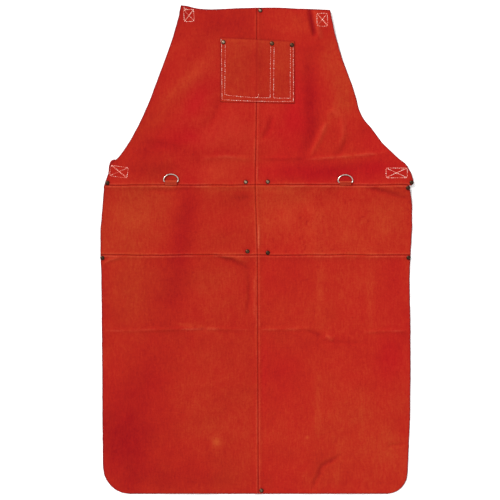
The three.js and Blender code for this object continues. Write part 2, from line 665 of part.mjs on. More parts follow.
// The tongue: a collar with the webbing bar outside the socket, a guide and two barbed prongs inside.
const PRONG_LOW = BORE_LOW + 0.4;
const PRONG_HIGH = BORE_HIGH - 0.4;
const COLLAR_START = BUCKLE_MOUTH + 0.4;
const COLLAR_WIDE = BUCKLE_MOUTH + 8;
const collar = extrude([
  [COLLAR_START, -boreHalf], [COLLAR_WIDE, -HALF], [BUCKLE_END - BUCKLE_CORNER, -HALF],
  [BUCKLE_END, -HALF + BUCKLE_CORNER], [BUCKLE_END, HALF - BUCKLE_CORNER],
  [BUCKLE_END - BUCKLE_CORNER, HALF], [COLLAR_WIDE, HALF], [COLLAR_START, boreHalf],
], BUCKLE_FLOOR, BUCKLE_TOP);
const prongRoot = BUCKLE_MOUTH + 2;
const guide = box(WINDOW_START, prongRoot, -2, 2, PRONG_LOW, PRONG_HIGH);
const prong = (side) => extrude([
  [prongRoot, side * 6.5], [prongRoot, side * 10.5], [WINDOW_END, side * 12.2],
  [WINDOW_END - 0.8, side * 15.6], [WINDOW_START + 8, side * 16.2], [WINDOW_START + 2, side * 12.6],
  [WINDOW_START + 1, side * 9.6], [WINDOW_START + 10, side * 8.6],
], PRONG_LOW, PRONG_HIGH);
const collarSlot = box(TONGUE_BAR_X - 6, BUCKLE_END + 1, -RAIL_IN, RAIL_IN, -1, BUCKLE_TOP + 1);
const tongueBody = [guide, prong(1), prong(-1)].reduce(
  (solid, piece) => solid.add(solidOf(piece)), solidOf(collar).subtract(solidOf(collarSlot)),
);
const tongue = geometryOf(tongueBody.add(solidOf(buckleBar(TONGUE_BAR_X))));
place('buckle_tongue', tongue.translate(0, BELT_Y, 0), PLASTIC_BLACK);

export default apron;
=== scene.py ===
"""A red split-leather welding apron lying face up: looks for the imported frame."""
import json
import math

import bpy
import numpy as np
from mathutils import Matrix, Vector
from mathutils.bvhtree import BVHTree


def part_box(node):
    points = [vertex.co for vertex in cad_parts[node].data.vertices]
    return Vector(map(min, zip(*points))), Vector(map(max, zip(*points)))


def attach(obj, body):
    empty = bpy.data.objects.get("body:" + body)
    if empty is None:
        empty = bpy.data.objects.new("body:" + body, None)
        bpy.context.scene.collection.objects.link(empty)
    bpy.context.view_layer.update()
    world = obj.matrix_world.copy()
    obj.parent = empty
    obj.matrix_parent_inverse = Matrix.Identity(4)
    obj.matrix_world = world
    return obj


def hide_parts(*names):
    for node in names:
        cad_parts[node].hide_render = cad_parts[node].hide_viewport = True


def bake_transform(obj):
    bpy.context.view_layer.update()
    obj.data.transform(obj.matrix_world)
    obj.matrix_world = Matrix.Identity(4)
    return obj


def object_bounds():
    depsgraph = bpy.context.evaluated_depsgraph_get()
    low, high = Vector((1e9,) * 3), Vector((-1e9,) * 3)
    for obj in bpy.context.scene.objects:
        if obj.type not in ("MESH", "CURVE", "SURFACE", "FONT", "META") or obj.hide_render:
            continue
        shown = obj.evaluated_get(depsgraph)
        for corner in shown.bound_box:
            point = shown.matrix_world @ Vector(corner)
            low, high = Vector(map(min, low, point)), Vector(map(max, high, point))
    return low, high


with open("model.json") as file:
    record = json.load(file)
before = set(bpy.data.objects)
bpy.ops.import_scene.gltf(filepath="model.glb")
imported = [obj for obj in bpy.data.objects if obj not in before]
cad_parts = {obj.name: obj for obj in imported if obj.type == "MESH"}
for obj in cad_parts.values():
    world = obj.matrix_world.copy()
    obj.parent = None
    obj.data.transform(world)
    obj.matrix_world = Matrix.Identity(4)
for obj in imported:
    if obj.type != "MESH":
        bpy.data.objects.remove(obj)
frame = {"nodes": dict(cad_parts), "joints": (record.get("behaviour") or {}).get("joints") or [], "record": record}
cad_low, cad_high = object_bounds()
NODES = frame["nodes"]
JOINTS = {joint["name"]: joint for joint in frame["joints"]}
MM = 0.001


def configured(thing, **settings):
    """The thing itself, with some of its settings changed."""
    for name, value in settings.items():
        setattr(thing, name, value)
    return thing


def box_mm(node):
    """The lowest and highest corner of a CAD node, in mm."""
    return [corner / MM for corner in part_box(node)]



# ---- sizes, in mm

LEATHER = 1.4            # thickness of the split cowhide
POCKET_LEATHER = 1.3
FLOOR_GAP = 0.12         # the hide never comes closer to the floor than this
ALLOWANCE = 7.2          # width of the turned seam's allowance behind the hide
POCKET_THREAD = 0.9      # thickness of the thread on the pocket
BOX_THREAD = 1.0         # and in the crossed boxes
WAIST_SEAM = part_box("waist_left")[1].y / MM
LOWER_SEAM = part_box("skirt_left_upper")[1].y / MM
TOP = cad_high[1] / MM

# ---- camera, floor and light


def set_the_scene():
    """A camera straight above, a pale floor and soft light from the upper left."""
    scene = bpy.context.scene
    height = 3.2
    seen = 0.975    # metres of floor across the picture
    sensor = 36
    camera_data = configured(bpy.data.cameras.new("camera"), sensor_width=sensor, lens=sensor * height / seen)
    camera = bpy.data.objects.new("camera", camera_data)
    camera.location = (-0.0127, 0.0, height)
    scene.collection.objects.link(camera)
    scene.camera = camera
    scene.view_settings.view_transform = "Standard"

    world = bpy.data.worlds.new("studio")
    world.use_nodes = True
    background = world.node_tree.nodes["Background"]
    background.inputs["Color"].default_value = (1.0, 1.0, 1.0, 1.0)
    background.inputs["Strength"].default_value = 1.06
    scene.world = world

    key = configured(bpy.data.lights.new("key", "SUN"), angle=math.radians(16), energy=3.0)
    key_object = bpy.data.objects.new("key", key)
    key_object.rotation_euler = Vector((1.0, -1.15, -1.35)).to_track_quat("-Z", "Y").to_euler()
    scene.collection.objects.link(key_object)

    bpy.ops.mesh.primitive_plane_add(size=14, location=(0, 0, 0))
    floor = bpy.context.object
    floor.name = "floor"
    material = bpy.data.materials.new("pale_floor")
    material.use_nodes = True
    shader = material.node_tree.nodes["Principled BSDF"]
    shader.inputs["Base Color"].default_value = (0.95, 0.95, 0.95, 1.0)
    shader.inputs["Roughness"].default_value = 0.9
    floor.data.materials.append(material)


set_the_scene()

# ---- materials


class Nodes:
    """Short ways to add and join shader nodes."""

    def __init__(self, name):
        self.material = bpy.data.materials.new(name)
        self.material.use_nodes = True
        self.tree = self.material.node_tree
        self.shader = self.tree.nodes["Principled BSDF"]
        self.rest = self.add("Attribute", attribute_name="rest").outputs["Vector"]

    def add(self, kind, **settings):
        return configured(self.tree.nodes.new("ShaderNode" + kind), **settings)

    def fill(self, socket, item):
        """Gives an input a number or a colour, or joins it to another node's output."""
        if isinstance(item, bpy.types.NodeSocket):
            self.tree.links.new(item, socket)
        elif socket.type == "RGBA" and len(item) == 3:
            socket.default_value = (*item, 1.0)
        else:
            socket.default_value = item

    def put(self, node, **inputs):
        """Fills a node's inputs by name, with _ for a space."""
        for name, item in inputs.items():
            self.fill(node.inputs[name.replace("_", " ")], item)
        return node

    def value(self, name):
        return self.add("Attribute", attribute_name=name).outputs["Fac"]

    def stretched(self, scale, turn=0.0):
        node = self.put(self.add("Mapping"), Scale=scale, Rotation=(0, 0, turn), Vector=self.rest)
        return node.outputs["Vector"]

    def noise(self, scale, detail=3.0, roughness=0.55, vector=None, distortion=0.0):
        return self.put(self.add("TexNoise"), Scale=scale, Detail=detail, Roughness=roughness,
                        Distortion=distortion, Vector=vector or self.rest).outputs["Fac"]

    def math(self, operation, a, b, clamp=False):
        node = self.add("Math", operation=operation, use_clamp=clamp)
        self.fill(node.inputs[0], a)
        self.fill(node.inputs[1], b)
        return node.outputs[0]

    def total(self, base, *terms):
        """base plus each (socket, middle, weight): weight times (socket minus middle)."""
        result = base
        for socket, middle, weight in terms:
            away = self.math("SUBTRACT", socket, middle)
            result = self.math("ADD", self.math("MULTIPLY", away, weight), result)
        return result

    def ramp(self, factor, stops):
        node = self.put(self.add("ValToRGB"), Fac=factor)
        ramp = node.color_ramp
        while len(ramp.elements) < len(stops):
            ramp.elements.new(0.5)
        for element, (position, colour) in zip(ramp.elements, stops):
            element.position = position
            element.color = (*colour, 1.0)
        return node.outputs["Color"]

    def mix(self, factor, a, b, blend="MIX"):
        node = self.add("Mix", data_type="RGBA", blend_type=blend)
        return self.put(node, Factor=factor, A=a, B=b).outputs["Result"]

    def bump(self, height, distance, strength):
        node = self.put(self.add("Bump"), Strength=strength, Distance=distance, Height=height)
        return node.outputs["Normal"]

    def finish(self, colour, roughness, normal, **constants):
        self.put(self.shader, Base_Color=colour, Roughness=roughness, Normal=normal, **constants)
        return self.material


def linear(red, green, blue):
    """A colour from 0 to 255 as the eye sees it, as linear light."""
    def one(value):
        share = value / 255
        return share / 12.92 if share <= 0.04045 else ((share + 0.055) / 1.055) ** 2.4
    return tuple(one(value) for value in (red, green, blue))


def lit(red, green, blue):
    """A matte colour that reads as the given one under this scene's light."""
    return tuple(0.603 * value for value in linear(red, green, blue))


def suede(name, middle, lighter, darker):
    """Split cowhide: brushed nap in patches and short fibres; tone values that add painted shade and light at
    creases, seams, rivets and edges; folds paler from wear and a painted highlight; darker cut edges, spread onto
    the face as painted shade.
    """
    n = Nodes(name)
    patches = n.noise(9.0, 2.0, 0.5, distortion=0.5)
    mottle = n.noise(58.0, 4.0, 0.6, distortion=0.7)
    specks = n.noise(260.0, 3.0, 0.65)
    strokes = n.noise(1.0, 3.0, 0.65, vector=n.stretched((330.0, 70.0, 200.0), 0.12))
    fibres = n.noise(1.0, 3.0, 0.7, vector=n.stretched((1500.0, 520.0, 900.0), 0.5))
    fuzz = n.noise(2300.0, 2.0, 0.6)
    # The tone values: dye and nap, with painted shade and light from creases, seams, rivets, edges and folds.
    factor = n.total(
        0.5,
        (n.value("tone"), 0.0, 0.40), (patches, 0.5, 0.12), (mottle, 0.5, 0.12),
        (specks, 0.5, 0.42), (strokes, 0.5, 0.42), (fibres, 0.5, 0.25),
    )
    factor = n.math("ADD", factor, 0.0, clamp=True)
    colour = n.ramp(factor, [(0.0, darker), (0.5, middle), (1.0, lighter)])
    shift = n.total(0.5, (n.value("hue"), 0.0, 0.5), (mottle, 0.5, 0.2), (strokes, 0.5, 0.15))
    tint = n.ramp(shift, [(0.0, (1.0, 0.45, 1.0)), (0.5, (0.98, 1.0, 0.97)), (1.0, (0.96, 1.8, 1.08))])
    colour = n.mix(1.0, colour, tint, "MULTIPLY")
    # Paler where worn, and as a painted highlight on fold ridges and seam rolls.
    pale = n.math("MULTIPLY", n.value("scuff"), n.total(0.55, (specks, 0.5, 1.8)), clamp=True)
    colour = n.mix(pale, colour, lit(232, 112, 78))
    pits = n.math("GREATER_THAN", n.noise(330.0, 2.0, 0.5), 0.70)
    colour = n.mix(n.math("MULTIPLY", pits, 0.4), colour, lit(140, 22, 18))
    # The raw edge's colour on cut edges, and as painted shade on the face beside free edges.
    colour = n.mix(n.value("cut"), colour, lit(88, 24, 34))
    height = n.total(
        0.0, (mottle, 0.5, 0.5), (specks, 0.5, 0.7),
        (strokes, 0.5, 0.4), (fibres, 0.5, 0.5), (fuzz, 0.5, 0.35),
    )
    normal = n.bump(height, 0.0007, 0.6)
    roughness = n.total(0.92, (specks, 0.5, 0.1))
    return n.finish(
        colour, roughness, normal, Sheen_Weight=0.04, Sheen_Roughness=0.5,
        Sheen_Tint=(1.0, 0.42, 0.32, 1.0), Specular_IOR_Level=0.05,
    )


def antique_metal(name):
    """Plated steel that has gone nearly black, and is bright at the crown: rubbed plating and a painted highlight.
    """
    n = Nodes(name)
    tarnish = n.noise(900.0, 4.0, 0.65)
    spots = n.noise(2600.0, 2.0, 0.5)
    # rub: rubbed plating and a painted highlight, highest at each dome's crown.
    factor = n.total(0.0, (n.value("rub"), 0.0, 1.0), (tarnish, 0.5, 0.5))
    stops = [(0.0, linear(34, 18, 10)), (0.5, linear(92, 62, 42)), (1.0, linear(226, 206, 184))]
    colour = n.ramp(n.math("ADD", factor, 0.0, clamp=True), stops)
    roughness = n.total(0.38, (tarnish, 0.5, 0.35), (n.value("rub"), 0.0, -0.2))
    return n.finish(colour, roughness, n.bump(spots, 0.00008, 0.5), Metallic=0.9)


def bright_wire(name):
    """Nickel-plated wire with fine drawing marks."""
    n = Nodes(name)
    marks = n.noise(1.0, 3.0, 0.6, vector=n.stretched((240.0, 3800.0, 3800.0)))
    haze = n.noise(260.0, 3.0, 0.6)
    colour = n.ramp(haze, [(0.3, linear(160, 150, 140)), (0.7, linear(205, 198, 188))])
    roughness = n.total(0.26, (haze, 0.5, 0.22))
    return n.finish(colour, roughness, n.bump(marks, 0.00005, 0.4), Metallic=1.0)


def woven(name, dark, light):
    """25 mm webbing: herringbone ribs, slightly fuzzy."""
    n = Nodes(name)
    waves = []
    for turn, detail in ((0.78, {"Detail": 1.0, "Detail_Scale": 2.0}), (-0.78, {})):
        vector = n.stretched((1.0, 1.0, 1.0), turn)
        wave = n.put(n.add("TexWave"), Scale=240.0, Distortion=1.2, Vector=vector, **detail)
        waves.append(wave.outputs["Fac"])
    weave = n.math("MULTIPLY", *waves)
    fuzz = n.noise(1800.0, 3.0, 0.7)
    colour = n.ramp(n.total(0.35, (weave, 0.3, 0.8), (fuzz, 0.5, 0.5)), [(0.0, dark), (1.0, light)])
    normal = n.bump(n.total(0.0, (weave, 0.0, 1.0), (fuzz, 0.5, 0.3)), 0.0004, 0.8)
    return n.finish(colour, 0.88, normal, Sheen_Weight=0.04, Specular_IOR_Level=0.2)


def moulded(name):
    """Black acetal with a fine spark-eroded texture."""
    n = Nodes(name)
    grain = n.noise(2600.0, 2.0, 0.5)
    haze = n.noise(60.0, 2.0, 0.5)
    colour = n.ramp(haze, [(0.2, linear(24, 24, 26)), (0.8, linear(40, 40, 43))])
    return n.finish(colour, n.total(0.46, (grain, 0.5, 0.2)), n.bump(grain, 0.0001, 0.5))


def thread_look(name):
    """Waxed white thread, twisted, tinted here and there by the red nap."""
    n = Nodes(name)
    tint = n.noise(170.0, 3.0, 0.6)
    twist = n.noise(1.0, 1.0, 0.5, vector=n.stretched((2600.0, 2600.0, 900.0), 0.6))
    factor = n.total(0.0, (n.value("clean"), 0.0, 1.0), (tint, 0.5, 1.6))
    stops = [(0.15, linear(208, 84, 66)), (0.6, linear(232, 152, 134)), (0.95, linear(252, 234, 222))]
    colour = n.ramp(factor, stops)
    return n.finish(colour, 0.72, n.bump(twist, 0.0001, 0.5), Sheen_Weight=0.1)


LEATHER_LOOK = {
    "left": suede("suede_left", lit(184, 37, 25), lit(206, 65, 38), lit(148, 16, 21)),
    "right": suede("suede_right", lit(189, 38, 26), lit(211, 68, 40), lit(153, 17, 22)),
    "trim": suede("suede_trim", lit(182, 36, 25), lit(204, 62, 37), lit(150, 18, 21)),
}
RIVET_LOOK = antique_metal("rivet_antique")
RING_LOOK = bright_wire("ring_nickel")
WEBBING_LOOK = woven("webbing_black", linear(8, 8, 9), linear(36, 36, 39))
PLASTIC_LOOK = moulded("buckle_acetal")
THREAD_LOOK = thread_look("thread_white")

# ---- mesh helpers


def new_piece(name, points, faces, look, values, body=None, nodes=()):
    """A smooth mesh from points in mm, which may ride on a body and stand for CAD nodes."""
    mesh = bpy.data.meshes.new(name)
    points = np.asarray(points, float) * MM
    mesh.from_pydata(points.tolist(), [], faces)
    mesh.validate()
    mesh.polygons.foreach_set("use_smooth", [True] * len(mesh.polygons))
    keep_rest(mesh, points)
    keep_values(mesh, values)
    mesh.materials.append(look)
    piece = bpy.data.objects.new(name, mesh)
    bpy.context.scene.collection.objects.link(piece)
    if nodes:
        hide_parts(*nodes)
    if body:
        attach(piece, body)
    return piece


def keep_values(mesh, values):
    """Stores the material's numbers: one for each point, or one for all of them."""
    for key, numbers in (values or {}).items():
        layer = mesh.attributes.new(key, "FLOAT", "POINT")
        layer.data.foreach_set("value", np.full(len(mesh.vertices), numbers, np.float32))


def keep_rest(mesh, points=None):
    """Stores each point's place at rest, so that the pattern doesn't slide when the piece bends."""
    if points is None:
        points = np.array([v.co for v in mesh.vertices], float)
    layer = mesh.attributes.new("rest", "FLOAT_VECTOR", "POINT")
    layer.data.foreach_set("vector", np.asarray(points, np.float32).ravel())


def tuck_keeper(mesh):
    """Brings the free end of a keeper's upper strand down into the seam."""
    middle = sum(vertex.co.z for vertex in mesh.vertices) / len(mesh.vertices)
    for vertex in mesh.vertices:
        if vertex.co.y < 0.1275 and vertex.co.z > middle:
            vertex.co.y -= 0.0007
            vertex.co.z -= 0.0026


def refined(node, look, slot, bevel=0.0, levels=0, values=None, settle=None):
    """A finer copy of a CAD node that stands for it, with rounded edges."""
    source = NODES[node]
    mesh = source.data.copy()
    if settle:
        settle(mesh)
    piece = bpy.data.objects.new("soft_" + node if slot == "webbing" else node + "_finished", mesh)
    bpy.context.scene.collection.objects.link(piece)
    bpy.context.view_layer.objects.active = piece
    configured(piece.modifiers.new("weld", "WELD"), merge_threshold=0.00002)
    if bevel:
        configured(piece.modifiers.new("bevel", "BEVEL"), width=bevel * MM, segments=2,
                   limit_method="ANGLE", angle_limit=math.radians(40))
    if levels:
        configured(piece.modifiers.new("smooth", "SUBSURF"), levels=levels, render_levels=levels)
    bpy.context.view_layer.update()
    evaluated = piece.evaluated_get(bpy.context.evaluated_depsgraph_get())
    baked = bpy.data.meshes.new_from_object(evaluated)
    piece.modifiers.clear()
    piece.data = baked
    baked.materials.clear()
    baked.materials.append(look)
    baked.polygons.foreach_set("material_index", [0] * len(baked.polygons))
    baked.polygons.foreach_set("use_smooth", [True] * len(baked.polygons))
    baked.set_sharp_from_angle(angle=math.radians(50))
    keep_rest(baked)
    keep_values(baked, values)
    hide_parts(node)
    return piece


def shell(x, y, top, bottom, bulge=0.25):
    """Points and faces of a closed sheet over a grid, with a rounded rim between its two faces."""
    rows, columns = x.shape
    count = rows * columns
    index = np.arange(count).reshape(rows, columns)
    ring = np.concatenate([index[0, :-1], index[:-1, -1], index[-1, :0:-1], index[:0:-1, 0]])
    flat_x, flat_y = x.ravel(), y.ravel()
    ahead, behind = np.roll(ring, -1), np.roll(ring, 1)
    along_x, along_y = flat_x[ahead] - flat_x[behind], flat_y[ahead] - flat_y[behind]
    length = np.maximum(np.hypot(along_x, along_y), 1e-6)
    turn = 1.0 if np.sum(flat_x[ring] * flat_y[ahead] - flat_x[ahead] * flat_y[ring]) > 0 else -1.0
    rim = np.stack([
        flat_x[ring] + turn * bulge * along_y / length,
        flat_y[ring] - turn * bulge * along_x / length,
        (top.ravel()[ring] + bottom.ravel()[ring]) / 2,
    ], axis=1)
    points = np.concatenate([
        np.stack([flat_x, flat_y, top.ravel()], axis=1),
        np.stack([flat_x, flat_y, bottom.ravel()], axis=1),
        rim,
    ])
    a, b = index[:-1, :-1].ravel(), index[:-1, 1:].ravel()
    c, d = index[1:, 1:].ravel(), index[1:, :-1].ravel()
    upper = np.stack([a, b, c, d], axis=1)
    lower = np.stack([a, d, c, b], axis=1) + count
    middle = np.arange(len(ring)) + 2 * count
    middle_ahead = np.roll(middle, -1)
    rim_low = np.stack([ring + count, ahead + count, middle_ahead, middle], axis=1)
    rim_high = np.stack([middle, middle_ahead, ahead, ring], axis=1)
    faces = np.concatenate([upper, lower, rim_low, rim_high])
    if turn < 0:
        faces = faces[:, ::-1]
    return points, faces, len(ring)


# ---- smooth random numbers and fields


def between(table, ix, iy, tx, ty):
    """Values of a table between its entries; past its edges the table repeats."""
    rows, columns = table.shape
    row, next_row, column, next_column = iy % rows, (iy + 1) % rows, ix % columns, (ix + 1) % columns
    near = table[row, column] * (1 - tx) + table[row, next_column] * tx
    far = table[next_row, column] * (1 - tx) + table[next_row, next_column] * tx
    return near * (1 - ty) + far * ty


def noise(x, y, size, seed):
    """Smooth random values from -1 to 1, with lumps about size mm across."""
    table = np.random.RandomState(seed).uniform(-1, 1, (64, 64))
    sx, sy = x / size + 1000.0, y / size + 1000.0
    ix, iy = np.floor(sx).astype(int), np.floor(sy).astype(int)
    tx, ty = sx - ix, sy - iy
    tx, ty = tx * tx * (3 - 2 * tx), ty * ty * (3 - 2 * ty)
    return between(table, ix, iy, tx, ty)


def along(points, x, y):
    """Signed distance to a broken line, positive on its left, and how far along it the nearest point is."""
    best = np.full(np.shape(x), 1e9)
    signed, share = np.zeros_like(best), np.zeros_like(best)
    lengths = [math.dist(a, b) for a, b in zip(points, points[1:])]
    run = 0.0
    for (ax, ay), (bx, by), length in zip(points, points[1:], lengths):
        dx, dy = bx - ax, by - ay
        t = np.clip(((x - ax) * dx + (y - ay) * dy) / length ** 2, 0, 1)
        px, py = x - ax - t * dx, y - ay - t * dy
        distance = np.hypot(px, py)
        closer = distance < best
        best = np.where(closer, distance, best)
        signed = np.where(closer, np.where(dx * py - dy * px >= 0, distance, -distance), signed)
        share = np.where(closer, (run + t * length) / sum(lengths), share)
        run += length
    return signed, share


def bell(distance, width):
    return np.exp(-(distance / width) ** 2)


def fade(value, start, end):
    """1 before start, 0 after end, smooth between."""
    t = np.clip((value - start) / (end - start), 0, 1)
    return 1 - t * t * (3 - 2 * t)


# Creases and wrinkles: (points in mm, height in mm, width in mm, tone, scuff), where tone is painted shade (below
# 0) and painted light (above 0) along the crease, and scuff is wear together with a painted highlight on the
# ridge.
CREASES = [
    # bib
    ([(102, 472), (107, 445), (114, 414)], -2.6, 4.2, -1.35, 0),
    ([(112, 471), (118, 440), (124, 410)], 1.8, 6.0, 0.55, 0.1),
    ([(108, 400), (103, 340), (108, 280), (115, 244), (97, 184)], -1.6, 12.0, -0.25, 0),
    ([(136, 250), (121, 215), (103, 181)], 1.9, 5.5, 0.55, 0.25),
    ([(134, 262), (150, 270), (166, 258), (170, 228), (160, 198)], 1.3, 6.0, 0.30, 0.1),
    ([(4, 178), (50, 177), (95, 179)], 1.0, 2.6, -0.35, 0),
    ([(92, 176), (150, 180), (205, 185), (262, 192)], 1.3, 3.0, 0.35, 0.35),
    ([(-78, 372), (-122, 336), (-172, 288)], 1.1, 14.0, 0.20, 0),
    ([(-62, 298), (-80, 262), (-104, 232)], -1.2, 10.0, -0.35, 0),
    ([(-106, 178), (-60, 182), (-6, 176)], 0.9, 4.0, 0.30, 0.2),
    ([(32, 262), (24, 236), (12, 214)], -1.2, 5.0, -0.30, 0),
    ([(-225, 214), (-160, 200), (-128, 186)], -0.9, 7.0, -0.25, 0),
    ([(150, 176), (168, 196), (176, 214)], -1.0, 5.0, -0.30, 0),
    # waist
    ([(-139, 122), (-142, 60), (-146, -6)], 1.3, 16.0, 0, 0),
    ([(113, 122), (114, 60), (115, -6)], 1.1, 14.0, 0.12, 0),
    ([(212, 122), (255, 112), (301, 99)], -1.5, 4.0, -0.55, 0),
    ([(-215, 117), (-165, 115), (-120, 119)], -0.9, 4.0, -0.25, 0),
    ([(-52, 104), (-30, 98), (-12, 102)], -1.0, 5.0, -0.28, 0),
    ([(4.5, 50), (4, 2)], 0.3, 2.6, 0.20, 0.9),
    ([(1.5, 164), (0.5, 131)], 0.3, 1.8, 0.10, 0.7),
    # skirt
    ([(-124, -150), (-110, -155), (-96, -153)], -1.0, 2.2, -0.55, 0),
    ([(-301, -158), (-92, -153), (-4, -156)], 1.3, 2.6, 0.10, 0.45),
    ([(4, -155), (96, -153), (108, -156)], 1.2, 2.4, 0.18, 0.35),
    ([(98, -156), (116, -163), (128, -170)], -1.3, 3.0, -0.50, 0),
    ([(128, -176), (160, -180), (212, -182)], -0.7, 3.0, -0.25, 0),
    ([(134, -166), (150, -175)], 1.4, 6.0, 0.45, 0.2),
    ([(208, -160), (255, -157), (299, -158)], 1.0, 2.6, 0.20, 0.3),
    ([(282, -160), (292, -168), (296, -180)], -1.0, 4.0, -0.30, 0),
    ([(-84, -12), (-48, -21), (-10, -38)], -1.7, 3.4, -0.55, 0),
    ([(-74, -8), (-42, -14), (-16, -24)], 1.1, 4.0, 0.25, 0.2),
    ([(-22, -34), (-13, -60), (-14, -96), (-20, -130)], -1.2, 4.0, -0.35, 0),
    ([(-4, -46), (-4, -140)], 0.6, 3.0, 0.25, 0.35),
    ([(-302, -28), (-284, -19), (-262, -14)], 1.1, 3.2, 0.25, 0.2),
    ([(108, -470), (128, -420), (168, -399)], -1.4, 4.0, -0.45, 0),
    ([(256, -381), (286, -379)], -1.0, 3.5, -0.35, 0),
]

# Each half panel's own tone and hue.
DYE = {
    "bib_left": (0.05, -0.20), "bib_right": (0, -0.15), "waist_left": (0.05, 0.15),
    "waist_right": (0.1, 0.22), "skirt_left": (0, 0.08), "skirt_right": (0, 0.08),
}

# Patches of tone and hue, in mm: the nap brushed another way and dye taken differently, and along the hide's soft
# folds painted shade and light of the fold slopes:
# (x, y, half length, half width, degrees, tone, hue), hue running from crimson to orange.
PATCHES = [
    # left bib
    (-55, 440, 52, 26, 0, -0.55, -0.15), (-120, 430, 34, 30, 0, 0.12, 0.35),
    (-128, 338, 70, 20, 41, 0.12, 0.45), (-192, 262, 62, 22, 52, -0.10, 0.55),
    (-118, 290, 40, 20, 58, 0.12, -0.85), (-60, 225, 58, 46, 0, 0.50, -0.20),
    (-140, 222, 46, 22, 10, 0, -0.75), (-210, 196, 46, 16, 20, -0.40, -0.25),
    (-63, 190, 30, 9, 0, -0.35, -0.3), (-205, 158, 50, 16, 0, -0.30, 0),
    (-80, 150, 60, 22, 0, 0.35, 0.05), (-86, 398, 26, 14, 60, 0.25, 0.1),
    # right bib
    (48, 440, 40, 30, 0, 0.05, 0.35), (84, 442, 26, 18, 90, 0.05, 0.40),
    (152, 360, 64, 26, 100, 0.22, 0.45), (103, 270, 84, 17, 88, -0.50, -0.40),
    (74, 292, 66, 16, 90, 0, -0.60), (45, 232, 46, 40, 0, 0.10, -0.35),
    (150, 262, 50, 16, 62, 0.15, 0.35), (175, 300, 40, 26, 90, 0.05, 0.30),
    (215, 215, 60, 26, -35, -0.05, -0.35), (225, 162, 52, 14, 0, -0.25, -0.55),
    (120, 150, 84, 17, 0, -0.30, -0.75), (20, 150, 30, 18, 0, 0.10, -0.30),
    # waist
    (-232, 60, 64, 64, 0, 0.20, 0.40), (-141, 60, 78, 23, 82, -0.50, -0.50),
    (-60, 60, 44, 40, 0, 0.05, -0.30), (-20, 110, 22, 10, 0, -0.15, -0.20),
    (58, 76, 46, 40, 0, 0.25, 0.15), (200, 60, 90, 46, 0, 0.12, 0.05),
    (285, 108, 30, 12, -12, -0.15, 0.10), (-60, 118, 60, 5, 0, 0.2, 0.1), (36, 117, 44, 7, 0, 0.35, -0.15),
    # left skirt
    (-250, -70, 42, 50, 0, 0.05, 0.40), (-162, -80, 88, 24, 80, -0.32, -0.25),
    (-90, -70, 42, 50, 0, 0.28, 0.25), (-212, -240, 60, 40, 72, -0.18, -0.25),
    (-256, -372, 108, 62, 88, -0.62, -0.45), (-285, -330, 60, 26, 90, -0.2, 0),
    (-185, -440, 70, 34, 0, -0.30, -0.10), (-85, -250, 90, 46, 90, 0.12, 0.15),
    (-78, -374, 9, 9, 0, 0.90, 0.50), (-140, -146, 24, 5, -8, 0.55, 0.20),
    (-90, -350, 50, 24, 0, 0.20, 0.25), (-100, -440, 60, 30, 0, -0.15, 0.05),
    (-20, -330, 90, 12, 90, 0.10, 0.15),
    # right skirt
    (50, -60, 50, 44, 0, -0.10, -0.25), (124, -70, 58, 9, 88, 0.30, 0.30),
    (190, -80, 30, 60, 0, 0.12, 0.05), (221, -100, 52, 8, 90, 0.28, 0.30),
    (268, -60, 22, 60, 0, -0.05, -0.35), (46, -236, 46, 44, 0, -0.22, -0.45),
    (262, -203, 30, 40, 0, -0.05, -0.75), (160, -330, 90, 70, 0, 0.08, 0.20),
    (250, -390, 60, 44, 90, 0.18, 0.30), (50, -440, 46, 40, 0, -0.05, -0.05),
    (14, -250, 64, 6, 90, 0.15, -0.45), (99, -365, 3.5, 3.5, 0, 0.9, 0.3),
    (120, -300, 70, 7, 90, 0.18, 0.25), (205, -320, 60, 6, 90, 0.15, 0.20),
    (160, -420, 50, 7, 84, 0.15, 0.20),
]


def shifted(table, places, mode, **fill):
    """Copies of a table, each moved so that a neighbour's value takes every entry's place."""
    rows, columns = table.shape
    padded = np.pad(table, 1, mode=mode, **fill)
    return np.stack([padded[i:i + rows, j:j + columns] for i, j in places])


def shape_lift():
    """How far the CAD hides lie above the floor, as a smooth map: (x lines, y lines, heights)."""
    points, faces = [], []
    for name in NODES:
        if not name.startswith(("bib_", "waist_left", "waist_right", "skirt_")):
            continue
        mesh = NODES[name].data
        offset = len(points)
        points += [v.co.copy() for v in mesh.vertices]
        faces += [[offset + i for i in p.vertices] for p in mesh.polygons]
    tree = BVHTree.FromPolygons(points, faces)
    step = 5.0
    xs = np.arange(-330, 331, step)
    ys = np.arange(-495, 496, step)
    heights = np.full((len(ys), len(xs)), np.nan)
    for row, y in enumerate(ys):
        for column, x in enumerate(xs):
            hit = tree.ray_cast(Vector((x * MM, y * MM, 1.0)), Vector((0, 0, -1)))[0]
            if hit is not None:
                heights[row, column] = hit.z / MM - LEATHER
    for _ in range(8):
        around = shifted(heights, [(1, 0), (1, 2), (0, 1), (2, 1)], "constant", constant_values=np.nan)
        known = ~np.isnan(around)
        mean = np.where(known, around, 0).sum(0) / np.maximum(known.sum(0), 1)
        heights = np.where(np.isnan(heights) & known.any(0), mean, heights)
    heights = np.maximum(np.nan_to_num(heights, nan=0.0), 0.0)
    heights = shifted(heights, [(i, j) for i in range(3) for j in range(3)], "edge").max(axis=0)
    reach = 8
    kernel = np.exp(-0.5 * (np.arange(-reach, reach + 1) / 2.4) ** 2)
    kernel /= kernel.sum()
    for axis in (0, 1):
        padded = np.pad(heights, [(reach, reach) if axis == a else (0, 0) for a in (0, 1)], mode="edge")
        heights = np.apply_along_axis(lambda line: np.convolve(line, kernel, "valid"), axis, padded)
    return xs, ys, heights


LIFT_X, LIFT_Y, LIFT = shape_lift()


